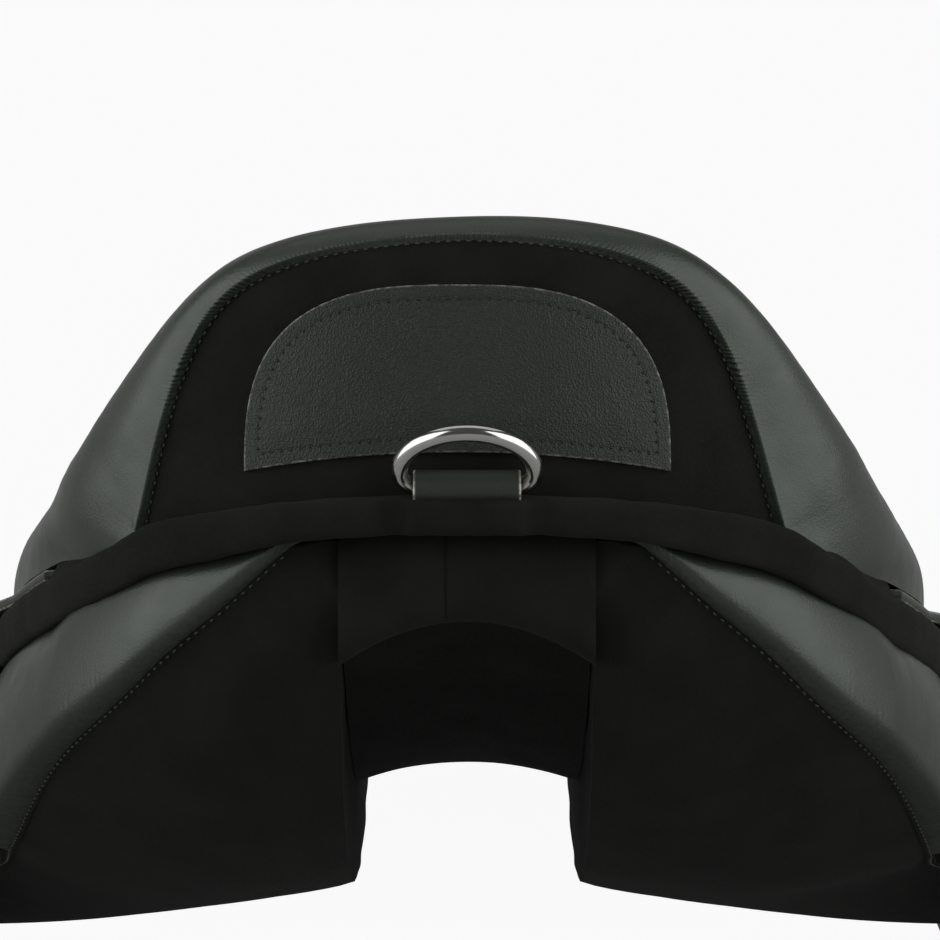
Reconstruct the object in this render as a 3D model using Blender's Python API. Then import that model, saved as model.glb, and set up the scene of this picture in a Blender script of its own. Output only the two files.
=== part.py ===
"""English saddle, adult size, modelled as separate named pieces on one spring tree.

Units are metres. X runs across the horse, +Y forward, +Z up. The origin is on the
horse's spine line, level with the bearing faces of the panels below the deepest seat.
"""

import math

import bmesh
import bpy
import numpy as np
from mathutils import Matrix

# Seat plan and heights, read on the line where the seat leather meets the panels.
CANTLE_BACK_Y = -0.238
CORNER_HALF_WIDTH = 0.0875
CORNER_FORWARD = 0.027
SIDE_HALF_WIDTH = 0.119
SEAT_HALF_WIDTH = 0.138
THIGH_HALF_WIDTH = 0.125
WAIST_HALF_WIDTH = 0.099
HEAD_HALF_WIDTH = 0.072
POMMEL_HALF_WIDTH = 0.042
POMMEL_FRONT_Y = 0.212
BASE_REAR_Z = 0.114
CORNER_Z = 0.106
SEAT_EDGE_Z = 0.084
WAIST_EDGE_Z = 0.080
POMMEL_EDGE_Z = 0.134

# Cantle, pommel and the dip between them.
CANTLE_TOP_Z = 0.190
SEAM_BELOW_TOP = 0.006
ROLL_BULGE = 0.16
SEAT_DIP_Z = 0.112
POMMEL_TOP_Z = 0.157

# Leather and padding.
COVER_THICKNESS = 0.003
FACING_THICKNESS = 0.0025
PATCH_THICKNESS = 0.002
PATCH_HALF_WIDTH = 0.058
PATCH_BASE_Z = 0.1213
PATCH_HEIGHT = 0.050
PATCH_ARCH = 0.0047
PATCH_ROUNDNESS = 2.9
FLAP_THICKNESS = 0.0045
SKIRT_THICKNESS = 0.0035
SWEAT_FLAP_THICKNESS = 0.0035
FOAM_THICKNESS = 0.018
GAP = 0.0004

# Rear binding and the panels.
BINDING_HEIGHT = 0.011
BINDING_DEPTH = 0.0145
BINDING_SIDE_DEPTH = 0.0080
GULLET_HALF_WIDTH = 0.0345
BRIDGE_ARCH_Z = 0.081
BRIDGE_ARCH_DROP = 0.012
UNDERSIDE_CROWN = 0.008
GUSSET_BULGE = 0.003
GUSSET_THICKNESS = 0.0016

# Flaps, skirts and what lies under them.
FLAP_BOTTOM_Z = -0.290
FLAP_BEND_Z = -0.050
SIDE_BLEND = 0.090
FLAP_STAND_OFF = 0.014
FLAP_ROUND = 0.110
KNEE_ROOM = 0.012
SKIRT_DEPTH = 0.118
SKIRT_TAIL = 0.001
SWEAT_FLAP_BOTTOM_Z = -0.240
KNEE_BLOCK_THICKNESS = 0.018
THIGH_BLOCK_THICKNESS = 0.007
STRAP_WIDTH = 0.027
STRAP_THICKNESS = 0.0036
STRAP_BOTTOM_Z = -0.215
STRAP_PITCH = 0.036
STRAP_STAND_OFF = 0.0068
STRAP_HOLES = 7
STRAP_HOLE_PITCH = 0.025
STRAP_HOLE_DIAMETER = 0.0045

# Tree and metalwork.
TREE_WIDTH = 0.030
TREE_INSET = 0.008
TREE_BELOW_EDGE = 0.0082
TREE_HEIGHT = 0.016
SPRING_WIDTH = 0.014
SPRING_THICKNESS = 0.002
WEB_THICKNESS = 0.002
WEB_HALF_WIDTH = 0.022
HEAD_PLATE_WIDTH = 0.026
HEAD_PLATE_THICKNESS = 0.0032
BAR_DIAMETER = 0.007
BAR_FRONT_Y = 0.112
BAR_REAR_Y = 0.036
BAR_OUT = 0.0270
BAR_DROP = 0.0185
DEE_WIDTH = 0.0364
DEE_HEIGHT = 0.0205
DEE_WIRE = 0.0047
DEE_TILT = math.radians(47)
CHAPE_WIDTH = 0.029
LOOP_SLACK = 0.0009
CHAPE_THICKNESS = 0.0015
FRONT_DEE_WIDTH = 0.024
FRONT_DEE_HEIGHT = 0.020
FRONT_DEE_WIRE = 0.0036
NAIL_DIAMETER = 0.014

# Mesh counts.
LENGTH_STEPS = 28
ARCH_STEPS = 9
SIDE_STEPS = 8
PROFILE_STEPS = 8
FOAM_FIRST_STEP = 3


def smooth(value):
    value = np.clip(value, 0.0, 1.0)
    return value * value * (3 - 2 * value)


def cubic(knots, values, at):
    """Natural cubic spline through values at knots."""
    knots = np.asarray(knots, float)
    values = np.asarray(values, float)
    step = np.diff(knots)
    count = len(knots)
    system = np.eye(count)
    right = np.zeros_like(values)
    for i in range(1, count - 1):
        system[i, i - 1 : i + 2] = step[i - 1], 2 * (step[i - 1] + step[i]), step[i]
        rise = (values[i + 1] - values[i]) / step[i]
        right[i] = 6 * (rise - (values[i] - values[i - 1]) / step[i - 1])
    bend = np.linalg.solve(system, right)
    at = np.atleast_1d(np.asarray(at, float))
    k = np.clip(np.searchsorted(knots, at) - 1, 0, count - 2)
    left = at - knots[k]
    over = knots[k + 1] - at
    if values.ndim > 1:
        left, over, wide = left[:, None], over[:, None], step[k][:, None]
    else:
        wide = step[k]
    return (
        (bend[k] * over**3 + bend[k + 1] * left**3) / (6 * wide)
        + (values[k] / wide - bend[k] * wide / 6) * over
        + (values[k + 1] / wide - bend[k + 1] * wide / 6) * left
    )


def chord(points):
    """Running length along a polyline."""
    return np.concatenate([[0], np.cumsum(np.linalg.norm(np.diff(points, axis=0), axis=1))])


def flip(points, side):
    return np.asarray(points, float) * (side, 1, 1)


def along(points, count, ease=1.0):
    """Smooth curve through points, at count + 1 places."""
    knots = chord(points)
    return cubic(knots, points, knots[-1] * np.linspace(0, 1, count + 1) ** ease)


# Guide rails of the seat


def cantle_back_y(x):
    return CANTLE_BACK_Y + CORNER_FORWARD * (np.abs(x) / CORNER_HALF_WIDTH) ** 2.3


def on_back(x, z):
    return (x, cantle_back_y(x), z)


SEAM_TOP_Z = CANTLE_TOP_Z - SEAM_BELOW_TOP
SEAM_RISE = SEAM_TOP_Z - CORNER_Z
CORNER = on_back(CORNER_HALF_WIDTH, CORNER_Z)
SIDE = (SIDE_HALF_WIDTH, -0.165, CORNER_Z - 0.51 * (CORNER_Z - SEAT_EDGE_Z))
WIDEST = (SEAT_HALF_WIDTH, -0.085, SEAT_EDGE_Z)
THIGH = (THIGH_HALF_WIDTH, -0.005, SEAT_EDGE_Z - 0.003)
WAIST = (WAIST_HALF_WIDTH, 0.065, WAIST_EDGE_Z)
HEAD = (HEAD_HALF_WIDTH, 0.140, WAIST_EDGE_Z + 0.36 * (POMMEL_EDGE_Z - WAIST_EDGE_Z))
HEAD_CORNER = (POMMEL_HALF_WIDTH, 0.192, POMMEL_EDGE_Z - 0.013)
FRONT = (0.0, POMMEL_FRONT_Y, POMMEL_EDGE_Z)
FORWARD_EDGE = [SIDE, WIDEST, THIGH, WAIST, HEAD, HEAD_CORNER, FRONT]

# The stitched seam over the cantle, then the lower edge of the seat leather.
EDGE = [
    on_back(0.0, SEAM_TOP_Z),
    on_back(0.63 * CORNER_HALF_WIDTH, SEAM_TOP_Z - 0.105 * SEAM_RISE),
    on_back(0.88 * CORNER_HALF_WIDTH, SEAM_TOP_Z - 0.45 * SEAM_RISE),
    CORNER,
] + FORWARD_EDGE

# The straight run of the same line along the top of the rear binding.
BASE = [
    on_back(0.0, BASE_REAR_Z),
    on_back(0.36 * CORNER_HALF_WIDTH, BASE_REAR_Z - 0.13 * (BASE_REAR_Z - CORNER_Z)),
    on_back(0.70 * CORNER_HALF_WIDTH, BASE_REAR_Z - 0.49 * (BASE_REAR_Z - CORNER_Z)),
    CORNER,
] + FORWARD_EDGE


def from_edge(point, dx, dy, dz):
    return (point[0] + dx, point[1] + dy, point[2] + dz)


# The outermost line of the roll, seen as the outline from behind.
RIDGE = [
    (0.0, CANTLE_BACK_Y + 0.011, CANTLE_TOP_Z),
    (0.72 * CORNER_HALF_WIDTH, CANTLE_BACK_Y + 0.019, CANTLE_TOP_Z - 0.0115),
    (1.07 * CORNER_HALF_WIDTH, CANTLE_BACK_Y + 0.037, CANTLE_TOP_Z - 0.040),
    (1.28 * CORNER_HALF_WIDTH, CANTLE_BACK_Y + 0.060, CORNER_Z + 0.019),
    from_edge(SIDE, 0.0065, 0.031, 0.009),
    from_edge(WIDEST, -0.004, 0.006, 0.016),
    from_edge(THIGH, -0.005, 0.004, 0.014),
    from_edge(WAIST, -0.005, 0.001, 0.014),
    from_edge(HEAD, -0.004, 0.000, 0.015),
    from_edge(HEAD_CORNER, -0.004, -0.005, 0.016),
    from_edge(FRONT, 0.0, -0.006, 0.016),
]

# The inner shoulder, where the roll turns into the dished seat.
SHELF = [
    (0.0, CANTLE_BACK_Y + 0.035, CANTLE_TOP_Z - 0.020),
    (0.56 * CORNER_HALF_WIDTH, CANTLE_BACK_Y + 0.042, CANTLE_TOP_Z - 0.030),
    (0.80 * CORNER_HALF_WIDTH, CANTLE_BACK_Y + 0.061, CANTLE_TOP_Z - 0.050),
    (0.95 * CORNER_HALF_WIDTH, CANTLE_BACK_Y + 0.092, SEAT_DIP_Z + 0.012),
    (0.65 * SEAT_HALF_WIDTH, -0.100, SEAT_DIP_Z + 0.001),
    (0.64 * SEAT_HALF_WIDTH, -0.055, SEAT_DIP_Z - 0.003),
    (0.59 * THIGH_HALF_WIDTH, 0.005, SEAT_DIP_Z - 0.005),
    (0.54 * WAIST_HALF_WIDTH, 0.062, SEAT_DIP_Z + 0.001),
    (0.53 * HEAD_HALF_WIDTH, 0.115, SEAT_DIP_Z + 0.018),
    (0.43 * POMMEL_HALF_WIDTH, 0.166, POMMEL_TOP_Z - 0.005),
    (0.0, 0.180, POMMEL_TOP_Z - 0.001),
]

# The centre line of the dish, from the foot of the cantle to the pommel.
SPINE_Y = [-0.165, -0.152, -0.135, -0.112, -0.080, -0.045, 0.000, 0.050, 0.098, 0.150, 0.166]
DIP_Y = [-0.200, -0.165, -0.120, -0.060, -0.010, 0.040, 0.090, 0.130, 0.168, 0.190]
DIP_RISE = [0.050, 0.029, 0.011, 0.002, 0.000, 0.003, 0.012, 0.025, 0.0395, 0.044]
SPINE = [(0.0, y, SEAT_DIP_Z + float(cubic(DIP_Y, DIP_RISE, y)[0])) for y in SPINE_Y]

KNOTS = chord(np.array(RIDGE))


def rail(stations, at):
    """A guide curve whose two ends cross the centre plane squarely."""
    points = np.array(stations, float)
    before, after = flip(points[2:0:-1], -1), flip(points[-2:-4:-1], -1)
    start, end = KNOTS[0], KNOTS[-1]
    knots = np.concatenate([2 * start - KNOTS[2:0:-1], KNOTS, 2 * end - KNOTS[-2:-4:-1]])
    return cubic(knots, np.concatenate([before, points, after]), at)


def edge_rail(at):
    """Edge of the seat leather: the arched seam, a corner, then the base line."""
    at = np.atleast_1d(np.asarray(at, float))
    arch = np.array(EDGE[:4], float)
    knots = np.concatenate([-KNOTS[2:0:-1], KNOTS[:4]])
    seam = cubic(knots, np.concatenate([flip(arch[2:0:-1], -1), arch]), np.minimum(at, KNOTS[3]))
    return np.where((at <= KNOTS[3])[:, None], seam, rail(BASE, at))


DENSE = np.linspace(KNOTS[0], KNOTS[-1], 600)
DENSE_BASE = rail(BASE, DENSE)


def where_y(y):
    """Rail position of a distance along the saddle."""
    return np.interp(y, DENSE_BASE[:, 1], DENSE)


def where_x(x):
    """Rail position of a distance from the centre, behind the cantle."""
    rear = DENSE_BASE[:, 1] < -0.13
    return np.interp(x, DENSE_BASE[rear, 0], DENSE[rear])


def edge_at(y):
    return np.interp(y, DENSE_BASE[:, 1], DENSE_BASE[:, 0]), np.interp(
        y, DENSE_BASE[:, 1], DENSE_BASE[:, 2]
    )


def outward(at):
    """Level direction that points away from the saddle, on the base line."""
    step = 0.0005
    run = rail(BASE, np.clip(at + step, 0, KNOTS[-1])) - rail(BASE, np.clip(at - step, 0, KNOTS[-1]))
    away = np.stack([run[:, 1], -run[:, 0], 0 * run[:, 0]], axis=1)
    return away / np.linalg.norm(away, axis=1, keepdims=True)


def side_x(y, z):
    """Inner face of the hanging leathers: out from the seat edge, then round the barrel."""
    edge_x, edge_z = edge_at(y)
    drop = np.maximum(edge_z - z, 0)
    barrel = 0.100 + 0.125 * (1 - np.exp(-(0.080 - np.asarray(z, float)) / 0.130))
    share = smooth(drop / SIDE_BLEND)
    return (edge_x + 0.5 * drop) * (1 - share) + barrel * share


# Mesh makers


def look(name, colour, roughness, metallic=0.0):
    material = bpy.data.materials.get(name)
    if material is None:
        material = bpy.data.materials.new(name)
        material.use_nodes = True
        shader = material.node_tree.nodes["Principled BSDF"]
        shader.inputs["Base Color"].default_value = (*colour, 1)
        shader.inputs["Roughness"].default_value = roughness
        shader.inputs["Metallic"].default_value = metallic
    return material


def solid(name, points, faces, material, origin=(0, 0, 0)):
    """One closed piece; a moving piece has its origin on its joint."""
    mesh = bpy.data.meshes.new(name)
    work = bmesh.new()
    origin = np.asarray(origin, float)
    corners = [work.verts.new(tuple(p - origin)) for p in np.asarray(points, float)]
    for face in faces:
        work.faces.new([corners[i] for i in face])
    bmesh.ops.remove_doubles(work, verts=work.verts, dist=1e-6)
    bmesh.ops.recalc_face_normals(work, faces=work.faces)
    work.to_mesh(mesh)
    work.free()
    mesh.shade_smooth()
    mesh.set_sharp_from_angle(angle=math.radians(35))
    mesh.materials.append(look(f"{name} {material[0]}", *material[1:]))
    piece = bpy.data.objects.new(name, mesh)
    piece.location = tuple(origin)
    bpy.context.collection.objects.link(piece)
    return piece


def between(name, outer, inner, material, origin=(0, 0, 0), welded=False):
    """Solid between two matching grids; welded grids fold onto themselves at both ends."""
    outer, inner = np.asarray(outer), np.asarray(inner)
    rows, columns = outer.shape[:2]
    half = rows * columns
    faces = []
    for r in range(rows - 1):
        for c in range(columns - 1):
            quad = [r * columns + c, r * columns + c + 1, (r + 1) * columns + c + 1, (r + 1) * columns + c]
            faces += [quad, [half + quad[i] for i in (0, 3, 2, 1)]]
        for c in (0, columns - 1):
            top, low = r * columns + c, (r + 1) * columns + c
            faces.append([top, low, half + low, half + top])
    if not welded:
        for c in range(columns - 1):
            for r in (0, rows - 1):
                start = r * columns + c
                faces.append([start, start + 1, half + start + 1, half + start])
    points = np.concatenate([outer.reshape(-1, 3), inner.reshape(-1, 3)])
    return solid(name, points, faces, material, origin)


def tube(name, sections, material, origin=(0, 0, 0), closed=False):
    """Solid through matching sections, capped at the ends or closed into a ring."""
    sections = np.asarray(sections)
    count, around = sections.shape[:2]
    faces = []
    for s in range(count if closed else count - 1):
        a, b = s * around, (s + 1) % count * around
        for i in range(around):
            j = (i + 1) % around
            faces.append([a + i, a + j, b + j, b + i])
    if not closed:
        faces += [list(range(around)), list(range((count - 1) * around, count * around))]
    return solid(name, sections.reshape(-1, 3), faces, material, origin)


def face_directions(grid):
    """Unit direction square to a grid at each of its points."""
    across = np.cross(np.gradient(grid, axis=0), np.gradient(grid, axis=1))
    return across / np.maximum(np.linalg.norm(across, axis=2, keepdims=True), 1e-12)


def leather(name, grid, thickness, material, origin=(0, 0, 0)):
    """Sheet of even thickness, half each side of a grid."""
    square = face_directions(np.asarray(grid))
    return between(name, grid + square * thickness / 2, grid - square * thickness / 2, material, origin)


def ring(name, path, wire, across, material, origin, around=8):
    """Round wire bent along a closed flat path; across is square to the path's plane."""
    path = np.asarray(path)
    run = np.roll(path, -1, axis=0) - np.roll(path, 1, axis=0)
    run /= np.linalg.norm(run, axis=1, keepdims=True)
    side = np.cross(np.asarray(across), run)
    turn = np.linspace(0, 2 * math.pi, around, endpoint=False)
    circle = np.cos(turn)[None, :, None] * side[:, None, :]
    circle = circle + np.sin(turn)[None, :, None] * np.asarray(across)[None, None, :]
    return tube(name, path[:, None, :] + circle * wire / 2, material, origin, closed=True)


def dee_path(width, height):
    """D outline about the middle of its bar: (across, up) points."""
    half, corner = width / 2, 0.16 * width
    arch = [
        (half * math.cos(a), corner + (height - corner) * math.sin(a))
        for a in np.linspace(0, math.pi, 15)
    ]
    left = [
        (-half + corner - corner * math.cos(a), corner - corner * math.sin(a))
        for a in np.linspace(0, math.pi / 2, 4)[1:]
    ]
    bar = [(x, 0.0) for x in np.linspace(-half + corner, half - corner, 3)[1:]]
    right = [
        (half - corner + corner * math.sin(a), corner - corner * math.cos(a))
        for a in np.linspace(0, math.pi / 2, 4)[1:-1]
    ]
    return np.array(arch + left + bar + right)


LEATHER = ("leather", (0.022, 0.024, 0.021), 0.45)
SUEDE = ("suede", (0.009, 0.009, 0.008), 0.95)
STEEL = ("steel", (0.62, 0.62, 0.62), 0.30, 1.0)
CHROME = ("chrome", (0.85, 0.85, 0.85), 0.08, 1.0)
SPRING_STEEL = ("spring steel", (0.09, 0.10, 0.12), 0.45, 1.0)
BEECH = ("laminated beech", (0.55, 0.38, 0.20), 0.65)
FOAM = ("foam", (0.70, 0.66, 0.50), 0.95)
WEB = ("webbing", (0.62, 0.58, 0.48), 0.90)


# Seat


def seat_half(at):
    """Right half of the seat: rows along the rim, columns from the edge to the centre line."""
    edge, ridge = edge_rail(at), rail(RIDGE, at)
    shelf, spine = rail(SHELF, at), rail(SPINE, at)
    run = np.gradient(ridge, axis=0)
    away = np.cross(run, ridge - edge)
    away /= np.linalg.norm(away, axis=1, keepdims=True)
    reach = np.linalg.norm(ridge - edge, axis=1, keepdims=True)
    swell = (edge + ridge) / 2 + away * ROLL_BULGE * reach
    rows = []
    for i in range(len(at)):
        half = [edge[i], swell[i], ridge[i], shelf[i], spine[i]]
        full = np.array(half + [flip(p, -1) for p in half[3:1:-1]])
        knots = chord(full)
        rows.append(cubic(knots, full, knots[4] * np.linspace(0, 1, PROFILE_STEPS + 1) ** 1.35))
    grid = np.array(rows)
    grid[:, -1, 0] = 0
    grid[0, :, 0] = 0
    grid[-1, :, 0] = 0
    return grid


def seat_square(grid):
    """Outward directions of the right half, level across the centre plane."""
    square = face_directions(grid)
    square[0, :, 0] = 0
    square[-1, :, 0] = 0
    square[:, -1, 0] = 0
    if square[len(grid) // 2, -2, 2] < 0:
        square = -square
    square[0, -1] = square[0, -2]
    square[-1, -1] = square[-1, -2]
    return square / np.linalg.norm(square, axis=2, keepdims=True)


def both_halves(grid):
    return np.concatenate([grid, flip(grid[:, -2::-1], -1)], axis=1)


def seat_places():
    """Rail positions of the seat's rows: one on the cantle corner, closer together beside it."""
    arch, side = ARCH_STEPS, SIDE_STEPS
    rest = LENGTH_STEPS - arch - side
    return np.concatenate(
        [
            KNOTS[3] * np.linspace(0, 1, arch + 1)[:-1] ** 0.8,
            KNOTS[3] + (KNOTS[5] - KNOTS[3]) * np.linspace(0, 1, side + 1)[:-1] ** 1.3,
            np.linspace(KNOTS[5], KNOTS[-1], rest + 1),
        ]
    )


def seat_cover():
    at = seat_places()
    grid = seat_half(at)
    inner = grid - seat_square(grid) * COVER_THICKNESS
    inner[:, 0] = grid[:, 0] - outward(at) * COVER_THICKNESS
    inner[0, 0, 0] = inner[-1, 0, 0] = 0
    between("seat_cover", both_halves(grid), both_halves(inner), LEATHER, welded=True)


def seat_foam():
    """Padding below the seat leather, thinner towards its rim and over the head of the tree."""
    at = seat_places()
    grid = seat_half(at)
    top = (grid - seat_square(grid) * (COVER_THICKNESS + GAP))[:, FOAM_FIRST_STEP:]
    rim = smooth(1.6 * np.linspace(0, 1, top.shape[1]))[None, :]
    head = 1 - smooth((at - KNOTS[7]) / (KNOTS[8] - KNOTS[7]))[:, None]
    low = top.copy()
    low[:, :, 2] -= 0.002 + (FOAM_THICKNESS - 0.002) * rim * head
    between("seat_foam", both_halves(top), both_halves(low), FOAM, welded=True)


def seat_web():
    """Strained webbing under the foam, from the head of the tree to the cantle."""
    rows = []
    for y in np.linspace(-0.180, 0.150, 14):
        rise = SEAT_DIP_Z + float(cubic(DIP_Y, DIP_RISE, y)[0])
        level = rise - COVER_THICKNESS - FOAM_THICKNESS - 0.0030 - 0.007 * smooth((-0.100 - y) / 0.060)
        rows.append([(-WEB_HALF_WIDTH, y, level), (WEB_HALF_WIDTH, y, level)])
    grid = np.array(rows)
    between("seat_web", grid, grid - (0, 0, WEB_THICKNESS), WEB)


# Cantle back


def seam_height(x):
    """Height of the seam over the cantle, at a distance from the centre."""
    at = np.linspace(0, KNOTS[3], 120)
    seam = edge_rail(at)
    return np.interp(np.abs(x), seam[:, 0], seam[:, 2])


def base_height(x):
    at = np.linspace(0, KNOTS[3], 120)
    base = rail(BASE, at)
    return np.interp(np.abs(x), base[:, 0], base[:, 2])


def cantle_back_cover():
    half = CORNER_HALF_WIDTH - 0.0026
    rows = []
    for x in half * np.sin(np.linspace(-math.pi / 2, math.pi / 2, 29)):
        low, top = base_height(x) + GAP, seam_height(x * 1.02) - 1.4 * GAP
        top = max(top, low + 0.002)
        rows.append([(x, cantle_back_y(x) + GAP, z) for z in (low, top)])
    grid = np.array(rows)
    between("cantle_back_cover", grid, grid + (0, FACING_THICKNESS, 0), SUEDE)


def cantle_patch():
    rows = []
    for part in np.sin(np.linspace(-math.pi / 2, math.pi / 2, 29)):
        x = 0.998 * PATCH_HALF_WIDTH * part
        share = abs(x) / PATCH_HALF_WIDTH
        low = PATCH_BASE_Z + PATCH_ARCH * (1 - share**2)
        top = PATCH_BASE_Z + PATCH_HEIGHT * (1 - share**PATCH_ROUNDNESS) ** (1 / PATCH_ROUNDNESS)
        rows.append([(x, cantle_back_y(x), z) for z in (low, max(top, low + 0.004))])
    grid = np.array(rows) + (0, -PATCH_THICKNESS, 0)
    between("cantle_patch", grid, grid + (0, PATCH_THICKNESS, 0), LEATHER)


# Bindings


def binding(name, at, top_drop, height, depth):
    """Padded roll below the seat edge, over a run of the base line and its mirror image."""
    base, away = rail(BASE, at), outward(at)
    turn = np.linspace(0, 2 * math.pi, 8, endpoint=False)
    sections = []
    for point, out, drop, thick in zip(base, away, top_drop, depth):
        bulge = np.sign(np.cos(turn)) * np.abs(np.cos(turn)) ** 0.7
        lift = np.sign(np.sin(turn)) * np.abs(np.sin(turn)) ** 0.7
        level = point[2] - drop - height / 2 + lift * height / 2
        reach = thick * (0.26 + bulge / 2)
        sections.append(
            [(point[0] + out[0] * r, point[1] + out[1] * r, z) for r, z in zip(reach, level)]
        )
    sections = np.array(sections)
    full = np.concatenate([flip(sections[:0:-1], -1), sections])
    return tube(name, full, SUEDE)


def binding_drop(y):
    """Room left above the binding, which makes way for the tail of the skirt."""
    return GAP + (SKIRT_THICKNESS + 3 * GAP) * smooth((y + 0.192) / 0.022)


def rear_binding():
    at = np.linspace(0, where_y(-0.112), 18)
    base = rail(BASE, at)
    room = binding_drop(base[:, 1])
    thinner = smooth((base[:, 0] / CORNER_HALF_WIDTH - 0.35) / 0.60)
    depth = BINDING_DEPTH + (BINDING_SIDE_DEPTH - BINDING_DEPTH) * thinner
    piece = binding("rear_binding", at, room, BINDING_HEIGHT, depth)
    reach = 0.0092
    middle = (0, CANTLE_BACK_Y - reach / 2 + 0.004, BASE_REAR_Z)
    pocket = box("binding_pocket", middle, (CHAPE_WIDTH + 2 * GAP, reach + 0.008, 0.021))
    cut(piece, pocket)


def pommel_binding():
    at = np.linspace(KNOTS[-1], where_y(0.1735), 10)
    binding("pommel_binding", at, np.full(10, GAP), 0.0095, np.full(10, 0.0065))


def box(name, centre, size):
    """A cutter, drawn as wire and left out of the part."""
    mesh = bpy.data.meshes.new(name)
    work = bmesh.new()
    bmesh.ops.create_cube(work, size=1.0)
    bmesh.ops.scale(work, vec=size, verts=work.verts)
    bmesh.ops.translate(work, vec=centre, verts=work.verts)
    work.to_mesh(mesh)
    work.free()
    return hidden(name, mesh)


def hidden(name, mesh):
    piece = bpy.data.objects.new(name, mesh)
    piece.hide_render = True
    piece.display_type = "WIRE"
    bpy.context.collection.objects.link(piece)
    return piece


def cut(piece, cutter):
    modifier = piece.modifiers.new("cut", "BOOLEAN")
    modifier.operation = "DIFFERENCE"
    modifier.solver = "EXACT"
    modifier.object = cutter


# Panels


# Height of the panel's outer seam and of its inner edge, at places along the saddle.
PANEL_STATIONS = [
    (-0.236, 0.1085, 0.0965),
    (-0.2275, 0.0957, 0.0825),
    (-0.214, 0.0716, 0.0600),
    (-0.185, 0.0445, 0.0325),
    (-0.130, 0.0195, 0.0100),
    (-0.060, 0.0035, 0.0005),
    (0.040, -0.0180, 0.0050),
    (0.110, -0.0190, 0.0220),
    (0.150, -0.0040, 0.0400),
    (0.190, 0.0430, 0.0720),
]
PANEL_Y, PANEL_SEAM_Z, PANEL_INNER_Z = zip(*PANEL_STATIONS)
GULLET_Y = [-0.215, -0.120, -0.020, 0.080, 0.165]
GULLET_ROOF = [0.084, 0.050, 0.036, 0.046, 0.080]


def panel_curves(at):
    """Top, gusset, underside and gullet wall of the right panel at one rail position."""
    base = rail(BASE, at)[0]
    out = outward(np.atleast_1d(at))[0]
    y = base[1]
    drop = BINDING_HEIGHT + GAP + binding_drop(y) + 0.0015 * smooth((y + 0.112) / 0.020)
    tuck = 0.0025 + 0.0060 * smooth((y + 0.112) / 0.030)
    top = base - out * tuck - (0, 0, drop)
    seam_z = min(float(cubic(PANEL_Y, PANEL_SEAM_Z, top[1])[0]), top[2] - 0.0015)
    front = smooth((top[1] + 0.115) / 0.075)
    room = 0.0010 + 0.0150 * smooth((top[1] - 0.085) / 0.030)
    seam_x = (top[0] + 0.004) * (1 - front) + (side_x(top[1], seam_z) - room) * front
    seam = np.array([seam_x, top[1], seam_z])
    inner_z = min(float(cubic(PANEL_Y, PANEL_INNER_Z, top[1])[0]), top[2] - 0.003)
    inner = np.array([GULLET_HALF_WIDTH + GAP, top[1], inner_z])
    inner_top = np.array([GULLET_HALF_WIDTH + GAP, top[1], top[2]])
    share = np.linspace(0, 1, 6)[:, None]
    swell = GUSSET_BULGE * (1 - front) + 0.0002 * front
    bulge = 4 * share * (1 - share) * swell * out * (1, 0, 0)
    gusset = top + (seam - top) * share + bulge
    limit = side_x(top[1], gusset[:, 2]) - room
    gusset[:, 0] = np.where(front > 0.02, np.minimum(gusset[:, 0], limit), gusset[:, 0])
    share = np.linspace(0, 1, 8)[:, None]
    crown = UNDERSIDE_CROWN * min(1.0, (seam[0] - inner[0]) / 0.06)
    sag = crown * np.sin(math.pi * share) ** 0.8
    under = seam + (inner - seam) * share - sag * np.array((0, 0, 1))
    wall = inner + (inner_top - inner) * np.linspace(0, 1, 3)[:, None]
    return gusset, under, wall


def panel_places():
    first, last = float(where_x(0.0395)), float(where_y(0.188))
    turn = float(where_y(-0.150))
    return np.concatenate([np.linspace(first, turn, 12)[:-1], np.linspace(turn, last, 14)])


def panel(side, word):
    sections = []
    for at in panel_places():
        gusset, under, wall = panel_curves(at)
        sections.append(np.concatenate([gusset[:-1], under[:-1], wall]))
    tube(f"panel_{word}", flip(np.array(sections), side), SUEDE)


def rear_gusset(side, word):
    """Leather wall of the panel, from the tail to where the flap covers it."""
    at = [a for a in panel_places()[1:] if a < where_y(-0.098)]
    rows = np.array([panel_curves(a)[0] for a in at])
    square = face_directions(rows)
    if square[8, 2, 0] < 0:
        square = -square
    skin = rows + square * GAP
    outer = skin + square * GUSSET_THICKNESS
    for layer in (outer, skin):
        layer[:, 0, 2] = np.minimum(layer[:, 0, 2], rows[:, 0, 2])
    between(f"rear_gusset_{word}", flip(outer, side), flip(skin, side), LEATHER)


def panel_bridge():
    """Padded piece that joins the panels behind the gullet."""
    sections = []
    for x in np.linspace(-GULLET_HALF_WIDTH + GAP, GULLET_HALF_WIDTH - GAP, 11):
        back = cantle_back_y(x) + 0.0015
        top = base_height(x) - BINDING_HEIGHT - 3 * GAP
        low = BRIDGE_ARCH_Z - BRIDGE_ARCH_DROP * (x / GULLET_HALF_WIDTH) ** 2
        sections.append(
            [
                (x, back + 0.002, top),
                (x, back, top - 0.004),
                (x, back, low + 0.005),
                (x, back + 0.003, low),
                (x, back + 0.021, low + 0.002),
                (x, back + 0.021, top),
            ]
        )
    tube("panel_bridge", sections, SUEDE)


def gullet_lining():
    """Roof of the channel, lowest below the deepest seat."""
    rows = []
    places = np.linspace(CANTLE_BACK_Y + 0.026, 0.165, 14)
    for y, roof in zip(places, cubic(GULLET_Y, GULLET_ROOF, places)):
        across = GULLET_HALF_WIDTH * np.linspace(-1, 1, 5)
        rows.append([(x, y, roof - 0.006 * (x / GULLET_HALF_WIDTH) ** 2) for x in across])
    grid = np.array(rows)
    between("gullet_lining", grid, grid + (0, 0, 0.002), SUEDE)


# Hanging leathers: each row hangs from one place on the seat edge


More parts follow.
